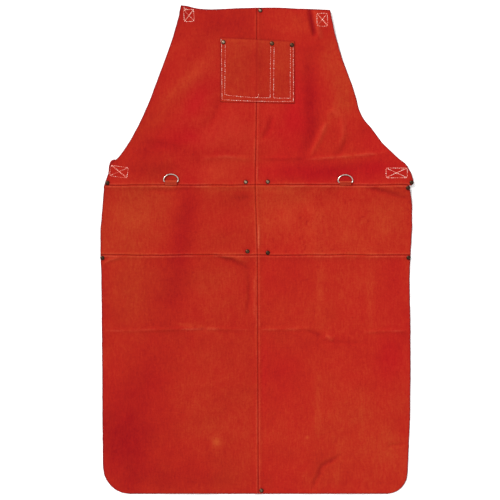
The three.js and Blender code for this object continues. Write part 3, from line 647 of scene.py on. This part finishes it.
def lift(x, y):
    """The map's height at some places, in mm."""
    fx = np.clip((x - LIFT_X[0]) / (LIFT_X[1] - LIFT_X[0]), 0, len(LIFT_X) - 1.001)
    fy = np.clip((y - LIFT_Y[0]) / (LIFT_Y[1] - LIFT_Y[0]), 0, len(LIFT_Y) - 1.001)
    ix, iy = fx.astype(int), fy.astype(int)
    return between(LIFT, ix, iy, fx - ix, fy - iy)


# ---- outlines of the panels


def rim_lines(names):
    """The long edges round the top of some CAD panels, as an array of (ax, ay, bx, by) in mm."""
    lines = []
    for name in names:
        mesh = NODES[name].data
        keys = [tuple(np.round(np.array(v.co) / MM, 3)) for v in mesh.vertices]
        seen = {}
        for polygon in mesh.polygons:
            corners = [keys[i] for i in polygon.vertices]
            for a, b in zip(corners, corners[1:] + corners[:1]):
                seen.setdefault(frozenset((a, b)), []).append(polygon.normal.z)
        for pair, tilts in seen.items():
            if len(pair) == 2 and max(tilts) > 0.6 and min(abs(t) for t in tilts) < 0.4:
                a, b = pair
                if math.dist(a, b) > 0.2:
                    lines.append((*a[:2], *b[:2]))
    return np.array(lines)


def crossings(lines, axis, values, pick):
    """Where the outline meets lines of constant y (axis 1) or x (axis 0): the lowest or highest crossing."""
    other = 1 - axis
    found = []
    for value in values:
        a, b = lines[:, axis], lines[:, axis + 2]
        cut = (np.minimum(a, b) <= value) & (np.maximum(a, b) >= value) & (np.abs(a - b) > 1e-6)
        t = (value - a[cut]) / (b[cut] - a[cut])
        at = lines[cut, other] + t * (lines[cut, other + 2] - lines[cut, other])
        found.append(pick(at) if len(at) else np.nan)
    found = np.array(found)
    good = ~np.isnan(found)
    return np.interp(values, np.asarray(values)[good], found[good])


def sway(x, y):
    """How far a cross seam wanders from its straight line at x; y only says which seam it is."""
    seed = 71 if y > 0.5 * (WAIST_SEAM + LOWER_SEAM) else 72
    x = np.asarray(x, float)
    return 0.75 * noise(x, 0 * x, 46.0, seed) + 0.3 * noise(x, 0 * x, 17.0, seed + 5)


def softened(values, width):
    """Runs a short average along an edge so that it has no corners; the ends stay."""
    kernel = np.hanning(2 * width + 3)[1:-1]
    kernel /= kernel.sum()
    padded = np.concatenate([
        2 * values[0] - values[width:0:-1], values, 2 * values[-1] - values[-2:-width - 2:-1],
    ])
    return np.convolve(padded, kernel, "valid")


class Panel:
    """One half panel of the apron: its outline and the look of its edges."""

    def __init__(self, name, word, nodes, low_seam, high_seam):
        self.name = name
        self.word = word
        self.side = -1 if word == "left" else 1
        self.nodes = nodes
        self.low_seam = low_seam            # ridge height at the lower seam, or None at a free edge
        self.high_seam = high_seam
        lines = rim_lines(nodes)
        self.low = lines[:, [1, 3]].min()
        high = lines[:, [1, 3]].max()
        outward, inward = (np.max, np.min) if self.side > 0 else (np.min, np.max)
        fine = self.low + (high - self.low) * np.linspace(0, 1, 1600) ** 1.35
        fine[0] += 0.002
        fine[-1] -= 0.002
        self.rows = fine
        corners = lines[:, :2]
        tip = corners[np.argmax(self.side * corners[:, 0] + corners[:, 1])]
        seam_top = corners[np.abs(corners[:, 0]) < 6.0, 1].max()
        edge = crossings(lines, 1, np.minimum(fine, tip[1] - 0.3), outward)
        self.edge_line = softened(edge, 14) + 0.22 * noise(fine, 0 * fine, 8.0, 41 + len(name))
        self.centre_line = softened(crossings(lines, 1, np.minimum(fine, seam_top - 0.6), inward), 60)
        if high_seam is None:
            ends = sorted((float(self.centre(seam_top)) + self.side * 0.5, float(tip[0]) - self.side * 0.4))
            self.tops_x = np.linspace(*ends, 400)
            self.tops = softened(crossings(lines, 0, self.tops_x, np.max), 8)
            self.high = float(tip[1])
        else:
            self.high = high

    def edge(self, y):
        return np.interp(y, self.rows, self.edge_line)

    def centre(self, y):
        return np.interp(y, self.rows, self.centre_line)

    def floor(self, x):
        if self.low_seam is None:
            return np.full(np.shape(x), self.low)
        return self.low + sway(x, self.low)

    def ceiling(self, x):
        if self.high_seam is None:
            return np.interp(x, self.tops_x, self.tops)
        return self.high + sway(x, self.high)


PANELS = {}
for part, low_ridge, high_ridge in (("bib", 0.8, None), ("waist", 0.9, 1.5), ("skirt", None, 1.2)):
    for word in ("left", "right"):
        whole = f"{part}_{word}"
        cut_nodes = sorted(node for node in NODES if node.startswith(whole))
        PANELS[whole] = Panel(whole, word, cut_nodes, low_ridge, high_ridge)

RIVETS = sorted(name[:-4] for name in NODES if name.startswith("rivet_") and name.endswith("_cap"))


def rivet_place(name):
    low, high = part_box(name + "_cap")
    return (low.x + high.x) / 2 / MM, (low.y + high.y) / 2 / MM


RIVET_PLACES = {name: rivet_place(name) for name in RIVETS}
RING_PLACES = [
    (1000 * joint["pos_m"][0], 1000 * joint["pos_m"][1] + 6)
    for joint in frame["joints"] if joint["name"].startswith("ring_")
]

# ---- the hide's surface


def seam(distance, height):
    """A turned seam: a flat step over the allowance, a soft roll, and a groove at the stitching."""
    step = height / (1 + np.exp((distance - ALLOWANCE) / 1.8))
    roll = 0.55 * bell(distance - 2.6, 1.9)
    groove = 0.7 * bell(distance, 0.95)
    return step + roll - groove


tongue_low, tongue_high = box_mm("buckle_tongue")
TONGUE_REACH = tongue_high.x + JOINTS["buckle_release"]["range_m"][1] / MM


def buckle_room(x, y):
    """How high the hide stays, so that the buckle's tongue can slide out under it."""
    aside = np.maximum(tongue_low.x - x, x - TONGUE_REACH)
    beyond = np.maximum(aside, np.maximum(tongue_low.y - y, y - tongue_high.y))
    return (tongue_high.z + 0.3) * fade(beyond, 0.5, 7.0)


def relief(panel, x, y):
    """The hide's upper face: its height above the floor, and its material's numbers."""
    centre = np.abs(x - panel.centre(y))
    outer = np.abs(panel.edge(y) - x)
    below = y - panel.floor(x)
    above = panel.ceiling(x) - y
    rises, tone, scuff = np.zeros((3, *x.shape))
    for number, (points, height, width, shade, wear_and_highlight) in enumerate(CREASES):
        distance, share = along(points, x, y)
        if np.abs(distance).min() > 4 * width:
            continue
        waver = 1 + 0.35 * noise(x, y, 24.0, 300 + number)
        ends = 1 - np.abs(2 * share - 1) ** 4
        line = bell(distance, width) * ends * waver
        rises += height * line
        # Painted shade and painted light along the crease, as its tone says.
        tone += shade * bell(distance, 1.15 * width) * ends
        # Ridges paler from wear plus a painted highlight, in patches.
        patchy = np.clip(0.45 + 0.9 * noise(x, y, 17.0, 500 + number), 0, 1)
        scuff += wear_and_highlight * bell(distance, 0.55 * width) * ends * patchy
    own_tone, own_hue = DYE[panel.name]
    tone += own_tone + 0.10 * noise(x, y, 30.0, 81) + 0.06 * noise(x, y, 12.0, 82)
    hue = own_hue + 0.22 * noise(x, y, 62.0, 83) + 0.12 * noise(x, y, 25.0, 84)
    ragged = 1 + 0.25 * noise(x, y, 22.0, 77)
    # Patches: the nap's and dye's own variation, and painted shade and light on the slopes of the soft folds.
    for px, py, half_length, half_width, degrees, shade, warmth in PATCHES:
        turn = math.radians(degrees)
        u = (x - px) * math.cos(turn) + (y - py) * math.sin(turn)
        v = -(x - px) * math.sin(turn) + (y - py) * math.cos(turn)
        share = np.exp(-((u / half_length) ** 2 + (v / half_width) ** 2) * ragged)
        tone += shade * share
        hue += warmth * share
    open_ends = [gap for gap, ridge in ((below, panel.low_seam), (above, panel.high_seam)) if ridge is None]
    free = np.min([outer, *open_ends], axis=0)
    inside = 1 - fade(free, 4.0, 46.0)
    swell = 1.7 + 0.8 * noise(x, y, 95.0, 11) + 0.45 * noise(x, y, 38.0, 12) + 0.16 * noise(x, y, 14.0, 13)
    base = lift(x, y)
    for rx, ry in RING_PLACES:
        pressed = np.exp(-(np.hypot((x - rx) / 30.0, (y - ry) / 24.0)) ** 4)
        inside *= 1 - pressed
        swell *= 1 - 0.8 * pressed
    rises = base + (0.35 + inside) * np.maximum(swell, 0.2) + 1.5 * rises * np.clip(free / 9.0, 0.15, 1)
    rises += 0.7 * bell(free, 12.0) * np.clip(0.4 + noise(x, y, 34.0, 14), 0, 1.4)
    curl = np.clip(1 - np.hypot(x - CURL_X, y - CURL_Y) / 30.0, 0, 1)
    rises += 4.0 * curl ** 2
    rises = np.maximum(rises, buckle_room(x, y))
    height = np.maximum(rises, base) + LEATHER
    pucker = noise(x, y, 7.0, 21) * 0.22
    # How strongly the seams' painted shade and paler rolls show, patchy along each seam.
    seam_patchiness = np.clip(0.55 + 0.8 * noise(x, y, 26.0, 31) + 0.4 * noise(x, y, 8.0, 32), 0, 1)
    for distance, ridge in ((centre, 1.1), (below, panel.low_seam), (above, panel.high_seam)):
        if ridge is None:
            continue
        height += seam(distance, ridge) + pucker * bell(distance, 10.0)
        # Each seam: painted shade in its groove, painted light on the roll beside it, and the roll paler from wear
        # plus a painted highlight.
        depth = 0.36 if distance is centre else 0.5
        tone += -depth * (0.55 + 0.6 * seam_patchiness) * bell(distance, 0.9) + 0.25 * bell(distance - 3.2, 2.0)
        scuff += (0.5 if ridge > 1.15 else 0.26) * bell(distance - 2.4, 1.2) * seam_patchiness
    # Each rivet presses a dip in the hide, with painted shade round the cap.
    for rx, ry in RIVET_PLACES.values():
        apart = np.hypot(x - rx, y - ry)
        height -= 0.45 * bell(apart, 6.5)
        tone -= 0.6 * bell(apart, 6.0)
    # Painted shade along the free edges, where the hide rounds over.
    tone -= 0.6 * bell(free, 1.6)
    flecks = np.clip(noise(x, y, 3.6, 85) * noise(x, y, 30.0, 86) - 0.25, 0, 1)
    tone -= (1.3 if panel.name == "waist_right" else 0.6) * flecks
    # cut gives the face's last mm at the free edges the raw edge's colour: painted shade of the rounded edge.
    values = {"tone": tone, "hue": hue, "scuff": np.clip(scuff, 0, 1), "cut": 0.6 * bell(free, 1.4)}
    return np.maximum(height, FLOOR_GAP + 0.35), values


CURL_X = PANELS["bib_left"].edge(TOP) + 1.0
CURL_Y = TOP


def face_height(panel, x, y):
    """The hide's upper face at one place, in mm."""
    return float(relief(PANELS[panel], np.array([[float(x)]]), np.array([[float(y)]]))[0][0, 0])


def uneven(total, fine_start, fine_end, coarse=2.7):
    """Places from 0 to total in mm: close together at one or both ends, wider between."""
    close = [0.0, 0.45, 0.95, 1.5, 2.2, 3.0, 4.0, 5.2, 6.6, 8.2, 10.0, 12.2]
    start = close if fine_start else [0.0, 0.5, 1.3, 2.6, 4.6]
    end = close if fine_end else [0.0, 0.5, 1.3, 2.6, 4.6]
    middle_from, middle_to = start[-1], total - end[-1]
    count = max(2, int(round((middle_to - middle_from) / coarse)))
    middle = np.linspace(middle_from, middle_to, count + 1)[1:-1]
    return np.concatenate([start, middle, total - np.array(end[::-1])]) / total


def corner_rows(panel, shares):
    """Adds rows near a free hem, where the round corner turns fast."""
    radius = abs(panel.edge(panel.low + 60.0) - panel.edge(panel.low))
    angles = np.linspace(0, math.pi / 2, 26)
    drops = radius * (1 - np.cos(angles)) / (panel.high - panel.low)
    rest = shares[shares > drops[-1] + 0.006]
    return np.concatenate([drops, rest])


def sheet_values(values, rim, cut=(True, True, True, True)):
    """The material's numbers for the face, the back and the rim of a sheet; cut says which sides are raw."""
    rows, columns = values["tone"].shape
    raw = 0.75 * np.repeat(np.array(cut, float), [columns - 1, rows - 1, columns - 1, rows - 1])
    plain = 0 * values["tone"]
    back = {"tone": 0.4 * values["tone"] - 0.2, "hue": values["hue"], "scuff": plain, "cut": plain}
    edge = {"tone": np.full(rim, -0.4), "hue": np.zeros(rim), "scuff": np.zeros(rim), "cut": raw}
    return {key: np.concatenate([values[key].ravel(), back[key].ravel(), edge[key]]) for key in values}


def allowance_strips(panel):
    """The seam allowances turned flat against the back of the hide, as grids of x and y."""
    strips = []
    across = np.array([0.5, 1.0, 2.2, 3.8, 5.4, 6.5, ALLOWANCE])
    lengthwise = np.linspace(panel.low + 1.0, float(panel.ceiling(panel.centre(panel.high))) - 1.0,
                             int((panel.high - panel.low) / 5.0))
    y, d = np.meshgrid(lengthwise, across, indexing="ij")
    strips.append((panel.centre(y) + panel.side * d, y))
    for seam_y, direction in ((panel.low, 1), (panel.high, -1)):
        ridge = panel.low_seam if direction > 0 else panel.high_seam
        if ridge is None:
            continue
        share = np.linspace(0.04, 0.985, 60)
        u, d = np.meshgrid(share, across, indexing="ij")
        y = seam_y + direction * d
        x = panel.centre(y) + u * (panel.edge(y) - panel.centre(y))
        strips.append((x, y + sway(x, seam_y)))
    return strips


def make_hide(panel):
    """One continuous piece of leather for a half panel, with its turned allowances."""
    shares = uneven(panel.high - panel.low, panel.low_seam is not None, panel.high_seam is not None)
    if panel.low_seam is None:
        shares = corner_rows(panel, shares)
    columns = uneven(300.0, True, False)
    v, u = np.meshgrid(shares, columns, indexing="ij")
    y = panel.low + v * (panel.high - panel.low)
    for _ in range(3):
        x = panel.centre(y) + u * (panel.edge(y) - panel.centre(y))
        y = panel.floor(x) + v * (panel.ceiling(x) - panel.floor(x))
    top, numbers = relief(panel, x, y)
    bottom = np.maximum(top - LEATHER, FLOOR_GAP)
    points, faces, rim = shell(x, y, top, bottom)
    cut = (panel.low_seam is None, True, panel.high_seam is None, False)
    values = sheet_values(numbers, rim, cut)
    faces = faces.tolist()
    for sx, sy in allowance_strips(panel):
        under, numbers = relief(panel, sx, sy)
        under = np.maximum(under - LEATHER, FLOOR_GAP + 0.25) - 0.05
        strip, strip_faces, strip_rim = shell(sx, sy, under, np.maximum(under - 1.1, FLOOR_GAP))
        faces += (strip_faces + len(points)).tolist()
        points = np.concatenate([points, strip])
        extra = sheet_values(numbers, strip_rim)
        values = {key: np.concatenate([values[key], extra[key]]) for key in values}
    look = LEATHER_LOOK[panel.word]
    piece = new_piece("hide_" + panel.name, points, faces, look, values,
                      nodes=panel.nodes)
    width = abs(panel.edge(panel.rows) - panel.centre(panel.rows)).max()
    belt = "belt_" + panel.word
    under = {"bib": ["neck_strap", belt], "waist": [belt], "skirt": []}[panel.name.split("_")[0]]
    return piece


for key, panel in PANELS.items():
    hide = make_hide(panel)
    if key.startswith("bib"):
        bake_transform(hide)
    elif key.startswith("skirt"):
        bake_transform(hide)
    else:
        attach(hide, "waist_section")

# ---- straps, buckle and slider

for node, body in (("belt_left", "waist_section"), ("neck_strap", "bib_flap")):
    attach(refined(node, WEBBING_LOOK, "webbing", bevel=0.45), body)
belt_right = refined("belt_right", WEBBING_LOOK, "webbing", bevel=0.45)
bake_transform(belt_right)
PLASTIC_PARTS = {"buckle_socket": "waist_section", "buckle_tongue": "tongue", "neck_slider": "slider"}
for node, body in PLASTIC_PARTS.items():
    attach(refined(node, PLASTIC_LOOK, "buckle_plastic", bevel=0.4), body)

for word in ("left", "right"):
    ring = refined("d_ring_" + word, RING_LOOK, "ring_metal", levels=2)
    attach(ring, "ring_" + word)
    keeper = refined("ring_keeper_" + word, LEATHER_LOOK["trim"], "leather_trim", bevel=0.42, levels=1,
                     values={"tone": 0.25, "hue": 0.3, "scuff": 0.2, "cut": 0.0}, settle=tuck_keeper)
    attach(keeper, "waist_section")

tab = refined("waist_tab", LEATHER_LOOK["trim"], "leather_trim", bevel=0.35,
              values={"tone": -0.3, "hue": 0.0, "scuff": 0.0, "cut": 0.2})
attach(tab, "waist_section")

# ---- chest pocket


def pocket_grid():
    """The pocket's outline as a grid, from the CAD pocket's four corners."""
    corners = [v.co / MM for v in NODES["chest_pocket"].data.vertices]
    pick = lambda sx, sy: max(corners, key=lambda c: sx * c.x + sy * c.y)
    low_left, low_right, high_left, high_right = pick(-1, -1), pick(1, -1), pick(-1, 1), pick(1, 1)
    across = uneven(high_right.x - high_left.x, True, True, 2.0)
    upward = uneven(high_left.y - low_left.y, True, False, 2.0)
    v, u = np.meshgrid(upward, across, indexing="ij")

    def spread(axis):
        low = low_left[axis] * (1 - u) + low_right[axis] * u
        high = high_left[axis] * (1 - u) + high_right[axis] * u
        return low * (1 - v) + high * v
    return spread(0), spread(1)


def bib_face(x, y):
    """The bib's upper face, on both sides of the centre seam."""
    left = relief(PANELS["bib_left"], x, y)[0]
    right = relief(PANELS["bib_right"], x, y)[0]
    middle = PANELS["bib_left"].centre(y)
    return np.where(x < middle, left, right)


def bridged(x, y):
    """The bib's face without its centre groove, which the pocket spans."""
    middle = PANELS["bib_left"].centre(y)
    away = np.abs(x - middle)
    shifted = np.where(x < middle, middle - 4.0, middle + 4.0)
    return np.where(away < 4.0, bib_face(shifted, y), bib_face(x, y))


pocket_low, pocket_high = box_mm("chest_pocket")
PX0, PX1, PY0, PY1 = pocket_low.x, pocket_high.x, pocket_low.y, pocket_high.y

# Stitch lines of the pocket in mm from its lower left corner.
SEWN_TOP = 113.0
POCKET_LINES = [
    [(2.0, SEWN_TOP + 3), (2.3, 60.0), (3.0, 6.6), (30.0, 5.0), (70.0, 3.4), (112.0, 2.9), (142.0, 3.8),
     (141.6, 60.0), (141.4, SEWN_TOP - 3)],
    [(9.2, SEWN_TOP + 1), (8.6, 60.0), (8.0, 18.0), (12.0, 15.4), (36.0, 12.6), (66.0, 10.6), (96.6, 10.2),
     (97.0, 60.0), (97.6, SEWN_TOP - 3)],
    [(104.2, SEWN_TOP - 4), (103.6, 60.0), (103.4, 10.0), (135.6, 9.4), (135.8, 60.0), (136.2, SEWN_TOP - 4)],
]


def pocket_line_points(line):
    return [(PX0 + dx, PY0 + dy) for dx, dy in line]


def line_distances(x, y):
    """How far places lie from each of the pocket's stitch lines."""
    return [np.abs(along(pocket_line_points(line), x, y)[0]) for line in POCKET_LINES]


def top_gap(x, y):
    """How far a place lies below the pocket's slanting top edge."""
    corners = [v.co / MM for v in NODES["chest_pocket"].data.vertices if v.co.y > 0.39]
    left, right = min(corners, key=lambda c: c.x), max(corners, key=lambda c: c.x)
    return left.y + (right.y - left.y) * (x - left.x) / (right.x - left.x) - y


def pocket_height(x, y):
    """The pocket's upper face: it sits on the bib, is drawn down at its stitches and gapes at the top."""
    height = bridged(x, y) + 0.12 + POCKET_LEATHER
    for distance in line_distances(x, y):
        height -= 0.5 * bell(distance, 1.5)
    lanes = np.sin(np.clip((x - PX0) / (PX1 - PX0), 0, 1) * math.pi) ** 2
    height += 1.3 * lanes * bell(top_gap(x, y), 22.0) + 0.25 * noise(x, y, 26.0, 91)
    return height


def make_pocket():
    x, y = pocket_grid()
    top = pocket_height(x, y)
    tone = 0.25 * noise(x, y, 46.0, 92) + 0.12
    # Painted shade along the stitch lines, where the pocket is drawn down.
    for distance in line_distances(x, y):
        tone -= 0.30 * bell(distance, 1.6)
    edge = np.minimum.reduce([x - PX0, PX1 - x, y - PY0])
    # Painted shade along the pocket's sides and bottom edge.
    tone -= 0.3 * bell(edge, 1.2)
    # Painted shade over the bib's centre seam under the pocket.
    tone -= 0.45 * bell(x - PANELS["bib_left"].centre(y), 1.6)
    # Painted shade under the gaping top edge, with painted light just below it.
    tone -= 0.6 * bell(top_gap(x, y), 1.0) - 0.15 * bell(top_gap(x, y) - 3.5, 2.0)
    points, faces, rim = shell(x, y, top, top - POCKET_LEATHER)
    hue = 0.28 + 0.2 * noise(x, y, 40.0, 93)
    # cut: the raw edge's colour over the face next to the pocket's edges, as painted shade.
    values = sheet_values({"tone": tone, "hue": hue, "scuff": 0 * x, "cut": 0.3 * bell(edge, 0.9)}, rim)
    piece = new_piece("pocket_leather", points, faces.tolist(), LEATHER_LOOK["trim"], values,
                      body="bib_flap", nodes=["chest_pocket"])


make_pocket()

# ---- stitches


def tube_faces(rings, sides, base=0):
    """The faces between rings of points that follow each other."""
    faces = []
    for r in range(rings - 1):
        for s in range(sides):
            a, b = base + r * sides + s, base + r * sides + (s + 1) % sides
            faces.append((a, b, b + sides, a + sides))
    return faces


def stitch_mesh(runs, pitch, thickness, clean):
    """Separate stitches along broken lines: each (points, height function) run, in mm."""
    points, faces, shades = [], [], []
    random = np.random.RandomState(5)
    sides, rings = 6, 5
    for line, height in runs:
        lengths = [math.dist(a, b) for a, b in zip(line, line[1:])]
        places = np.concatenate([[0], np.cumsum(lengths)])
        count = max(1, int(round(places[-1] / pitch)))
        for i in range(count):
            start = (i + 0.12) * places[-1] / count
            end = (i + 0.86) * places[-1] / count
            offset = random.uniform(-0.22, 0.22, 2)
            shade = clean + random.uniform(-0.25, 0.25)
            girth = thickness * random.uniform(0.8, 1.12)
            ring_points = []
            for share in np.linspace(0, 1, rings):
                at = start + (end - start) * share
                px, py = (np.interp(at, places, values) + off for values, off in zip(zip(*line), offset))
                ring_points.append((px, py, share))
            dx = ring_points[-1][0] - ring_points[0][0]
            dy = ring_points[-1][1] - ring_points[0][1]
            length = max(math.hypot(dx, dy), 1e-6)
            base = len(points)
            for px, py, share in ring_points:
                bow = math.sin(math.pi * share)
                radius = girth / 2 * (0.55 + 0.45 * bow)
                z = height(px, py, bow)
                for s in range(sides):
                    angle = 2 * math.pi * s / sides
                    side = radius * math.cos(angle)
                    high = z + 0.8 * radius * math.sin(angle)
                    points.append((px - side * dy / length, py + side * dx / length, high))
                    shades.append(shade)
            faces += tube_faces(rings, sides, base)
            faces.append(tuple(base + s for s in reversed(range(sides))))
            faces.append(tuple(base + (rings - 1) * sides + s for s in range(sides)))
    return points, [face[::-1] for face in faces], {"clean": shades}


def height_table(function, x0, x1, y0, y1):
    xs, ys = np.arange(x0 - 3, x1 + 3.1, 1.0), np.arange(y0 - 3, y1 + 3.1, 1.0)
    grid_x, grid_y = np.meshgrid(xs, ys)
    table = function(grid_x, grid_y)

    def look(x, y):
        column = int(np.clip(round(x - xs[0]), 0, len(xs) - 1))
        row = int(np.clip(round(y - ys[0]), 0, len(ys) - 1))
        return table[row, column]
    return look


def pocket_stitching():
    """Two rows of stitches on the pocket, with the thread's loose ends."""
    surface = height_table(pocket_height, PX0, PX1, PY0, PY1)
    over = lambda x, y, bow: surface(x, y) - 0.12 + 0.42 * bow
    lines = [pocket_line_points(line) for line in POCKET_LINES]
    first, rest = lines[:1], lines[1:]
    tails = [
        [(PX0 + 1.6, PY0 + SEWN_TOP + 3), (PX0 + 0.6, PY0 + SEWN_TOP + 8), (PX0 + 1.2, PY0 + SEWN_TOP + 12)],
        [(PX0 + 71, PY0 + 10.5), (PX0 + 73.5, PY0 + 14), (PX0 + 74, PY0 + 18)],
    ]
    for number, (name, node, runs) in enumerate((
            ("pocket_stitching_outer", "pocket_thread_outer", first),
            ("pocket_stitching_inner", "pocket_thread_inner", rest))):
        group = [(line, over) for line in runs] + [(tails[number], lambda x, y, bow: surface(x, y) + 0.5)]
        back = height_table(lambda x, y: bib_face(x, y) - LEATHER, PX0, PX1, PY0, PY1)
        group += [(line, lambda x, y, bow: max(back(x, y) - 0.12 - 0.2 * bow, 0.45)) for line in runs]
        points, faces, shades = stitch_mesh(group, 3.4, POCKET_THREAD, 0.52)
        new_piece(name, points, faces, THREAD_LOOK, shades, body="bib_flap", nodes=[node])


pocket_stitching()


def toward(a, b, distance):
    """The point at some distance from a on the way to b."""
    share = distance / math.dist(a, b)
    return a[0] + share * (b[0] - a[0]), a[1] + share * (b[1] - a[1])


def box_stitching(name, panel, body, x0, x1, y0, y1, turn, clean, bold, frayed=()):
    """A sewn rectangle crossed by its diagonals, over a strap's end."""
    middle_x, middle_y = (x0 + x1) / 2, (y0 + y1) / 2
    spin = math.radians(turn)

    def spun(x, y):
        dx, dy = x - middle_x, y - middle_y
        return (middle_x + dx * math.cos(spin) - dy * math.sin(spin),
                middle_y + dx * math.sin(spin) + dy * math.cos(spin))
    corners = [spun(x0, y0), spun(x1, y0), spun(x1, y1), spun(x0, y1)]
    soft = [
        point for a, b, c in zip(corners[-1:] + corners[:-1], corners, corners[1:] + corners[:1])
        for point in (toward(b, a, 2.5), toward(b, c, 2.5))
    ]
    surface = height_table(lambda x, y: relief(PANELS[panel], x, y)[0], x0 - 4, x1 + 4, y0 - 4, y1 + 4)
    over = lambda x, y, bow: surface(x, y) - 0.10 + 0.40 * bow
    lines = [soft + soft[:1], [corners[0], corners[2]], [corners[3], corners[1]]]
    lines += [[(x + 0.7, y + 0.5) for x, y in lines[bold]], *frayed]
    runs = [(line, over) for line in lines] + [(line, lambda x, y, bow: 0.17) for line in lines]
    points, faces, shades = stitch_mesh(runs, 3.6, BOX_THREAD, clean)
    new_piece(name, points, faces, THREAD_LOOK, shades, body)


neck_low, neck_high = box_mm("neck_strap")
left_low, left_high = box_mm("belt_left")
right_low, right_high = box_mm("belt_right")
STRAP = 25.0
neck_right_top = max(v.co.y for v in NODES["neck_strap"].data.vertices if v.co.x > 0) / MM
box_stitching("stitched_box_top_left", "bib_left", "bib_flap", neck_low.x + 3.2, neck_low.x + STRAP - 2.4,
              neck_high.y - 26, neck_high.y - 3, 3, clean=0.62, bold=1,
              frayed=[[(-142.0, 470.6), (-138.4, 469.2), (-134.6, 467.0)],
                      [(-140.0, 468.0), (-136.0, 464.6)]])
box_stitching("stitched_box_top_right", "bib_right", "bib_flap", neck_high.x - STRAP + 2.2, neck_high.x - 2.0,
              neck_right_top - 27, neck_right_top - 2, 2, clean=0.55, bold=2)
box_stitching("stitched_box_waist_left", "bib_left", "waist_section", left_low.x + 1.5, left_low.x + 35.5,
              left_low.y + 3.5, left_high.y - 1.0, -8, clean=0.42, bold=2,
              frayed=[[(-287.6, 155.5), (-286.2, 151.0), (-284.6, 147.4)]])
box_stitching("stitched_box_waist_right", "bib_right", "waist_section", right_high.x - 43, right_high.x - 1.5,
              right_low.y + 2.0, right_high.y - 4.0, 0, clean=0.60, bold=1)

# ---- rivets


def turned(profile, segments):
    """Points and faces of a profile of (radius, z) turned about Z."""
    angles = [2 * math.pi * s / segments for s in range(segments)]
    points = [(radius * math.cos(a), radius * math.sin(a), z) for radius, z in profile for a in angles]
    return np.array(points), tube_faces(len(profile), segments)


CAP_PROFILE = [
    (0.01, -0.9), (1.4, -0.9), (1.4, 0.0), (3.95, -0.02), (4.2, 0.18), (4.25, 0.45), (4.1, 0.78),
    (3.7, 1.05), (3.05, 1.34), (2.2, 1.62), (1.15, 1.80), (0.01, 1.86),
]
BURR_PROFILE = [
    (0.55, 0.1), (0.55, -0.18), (0.9, -0.42), (1.35, -0.46), (1.8, -0.34), (2.1, -0.22), (3.3, -0.20),
    (3.7, -0.08), (3.7, 0.1), (0.55, 0.1),
]
BODY_OF = {node: body for body, members in frame["record"]["behaviour"]["bodies"].items() for node in members}


def panel_at(x, y):
    word = "left" if x < PANELS["waist_left"].centre(y) else "right"
    group = "bib" if y > WAIST_SEAM else "waist" if y > LOWER_SEAM else "skirt"
    return f"{group}_{word}"


# How bright each rivet's crown is, as rubbed plating and a painted highlight.
CROWN = {
    "rivet_top_centre": 0.65, "rivet_pocket_left": 0.7, "rivet_pocket_middle": 0.5, "rivet_pocket_right": 0.3,
    "rivet_waist_left": 0.68, "rivet_waist_right": 0.62, "rivet_hem": 0.55, "rivet_lower_left": 0.35,
}

for rivet, (rx, ry) in RIVET_PLACES.items():
    panel = panel_at(rx, ry)
    face = face_height(panel, rx, ry)
    back = max(face - LEATHER, 0.6)
    if rivet.startswith("rivet_pocket"):
        face = float(pocket_height(np.array([[rx]]), np.array([[ry]]))[0, 0])
    cap, cap_faces = turned(CAP_PROFILE, 40)
    # Brighter toward the dome's top: rubbed plating and a painted highlight.
    rub = CROWN.get(rivet, 0.16) * np.clip((cap[:, 2] - 1.0) / 0.75, 0.08, 1)
    burr, burr_faces = turned(BURR_PROFILE, 28)
    for suffix, node, points, faces, z, shine in (
            ("_dome", rivet + "_cap", cap, cap_faces, face + 0.1, rub),
            ("_clinch", rivet + "_burr", burr, burr_faces, back, 0.4)):
        new_piece(rivet + suffix, points + np.array([rx, ry, z]), faces, RIVET_LOOK,
                  {"rub": shine}, BODY_OF[node], [node])
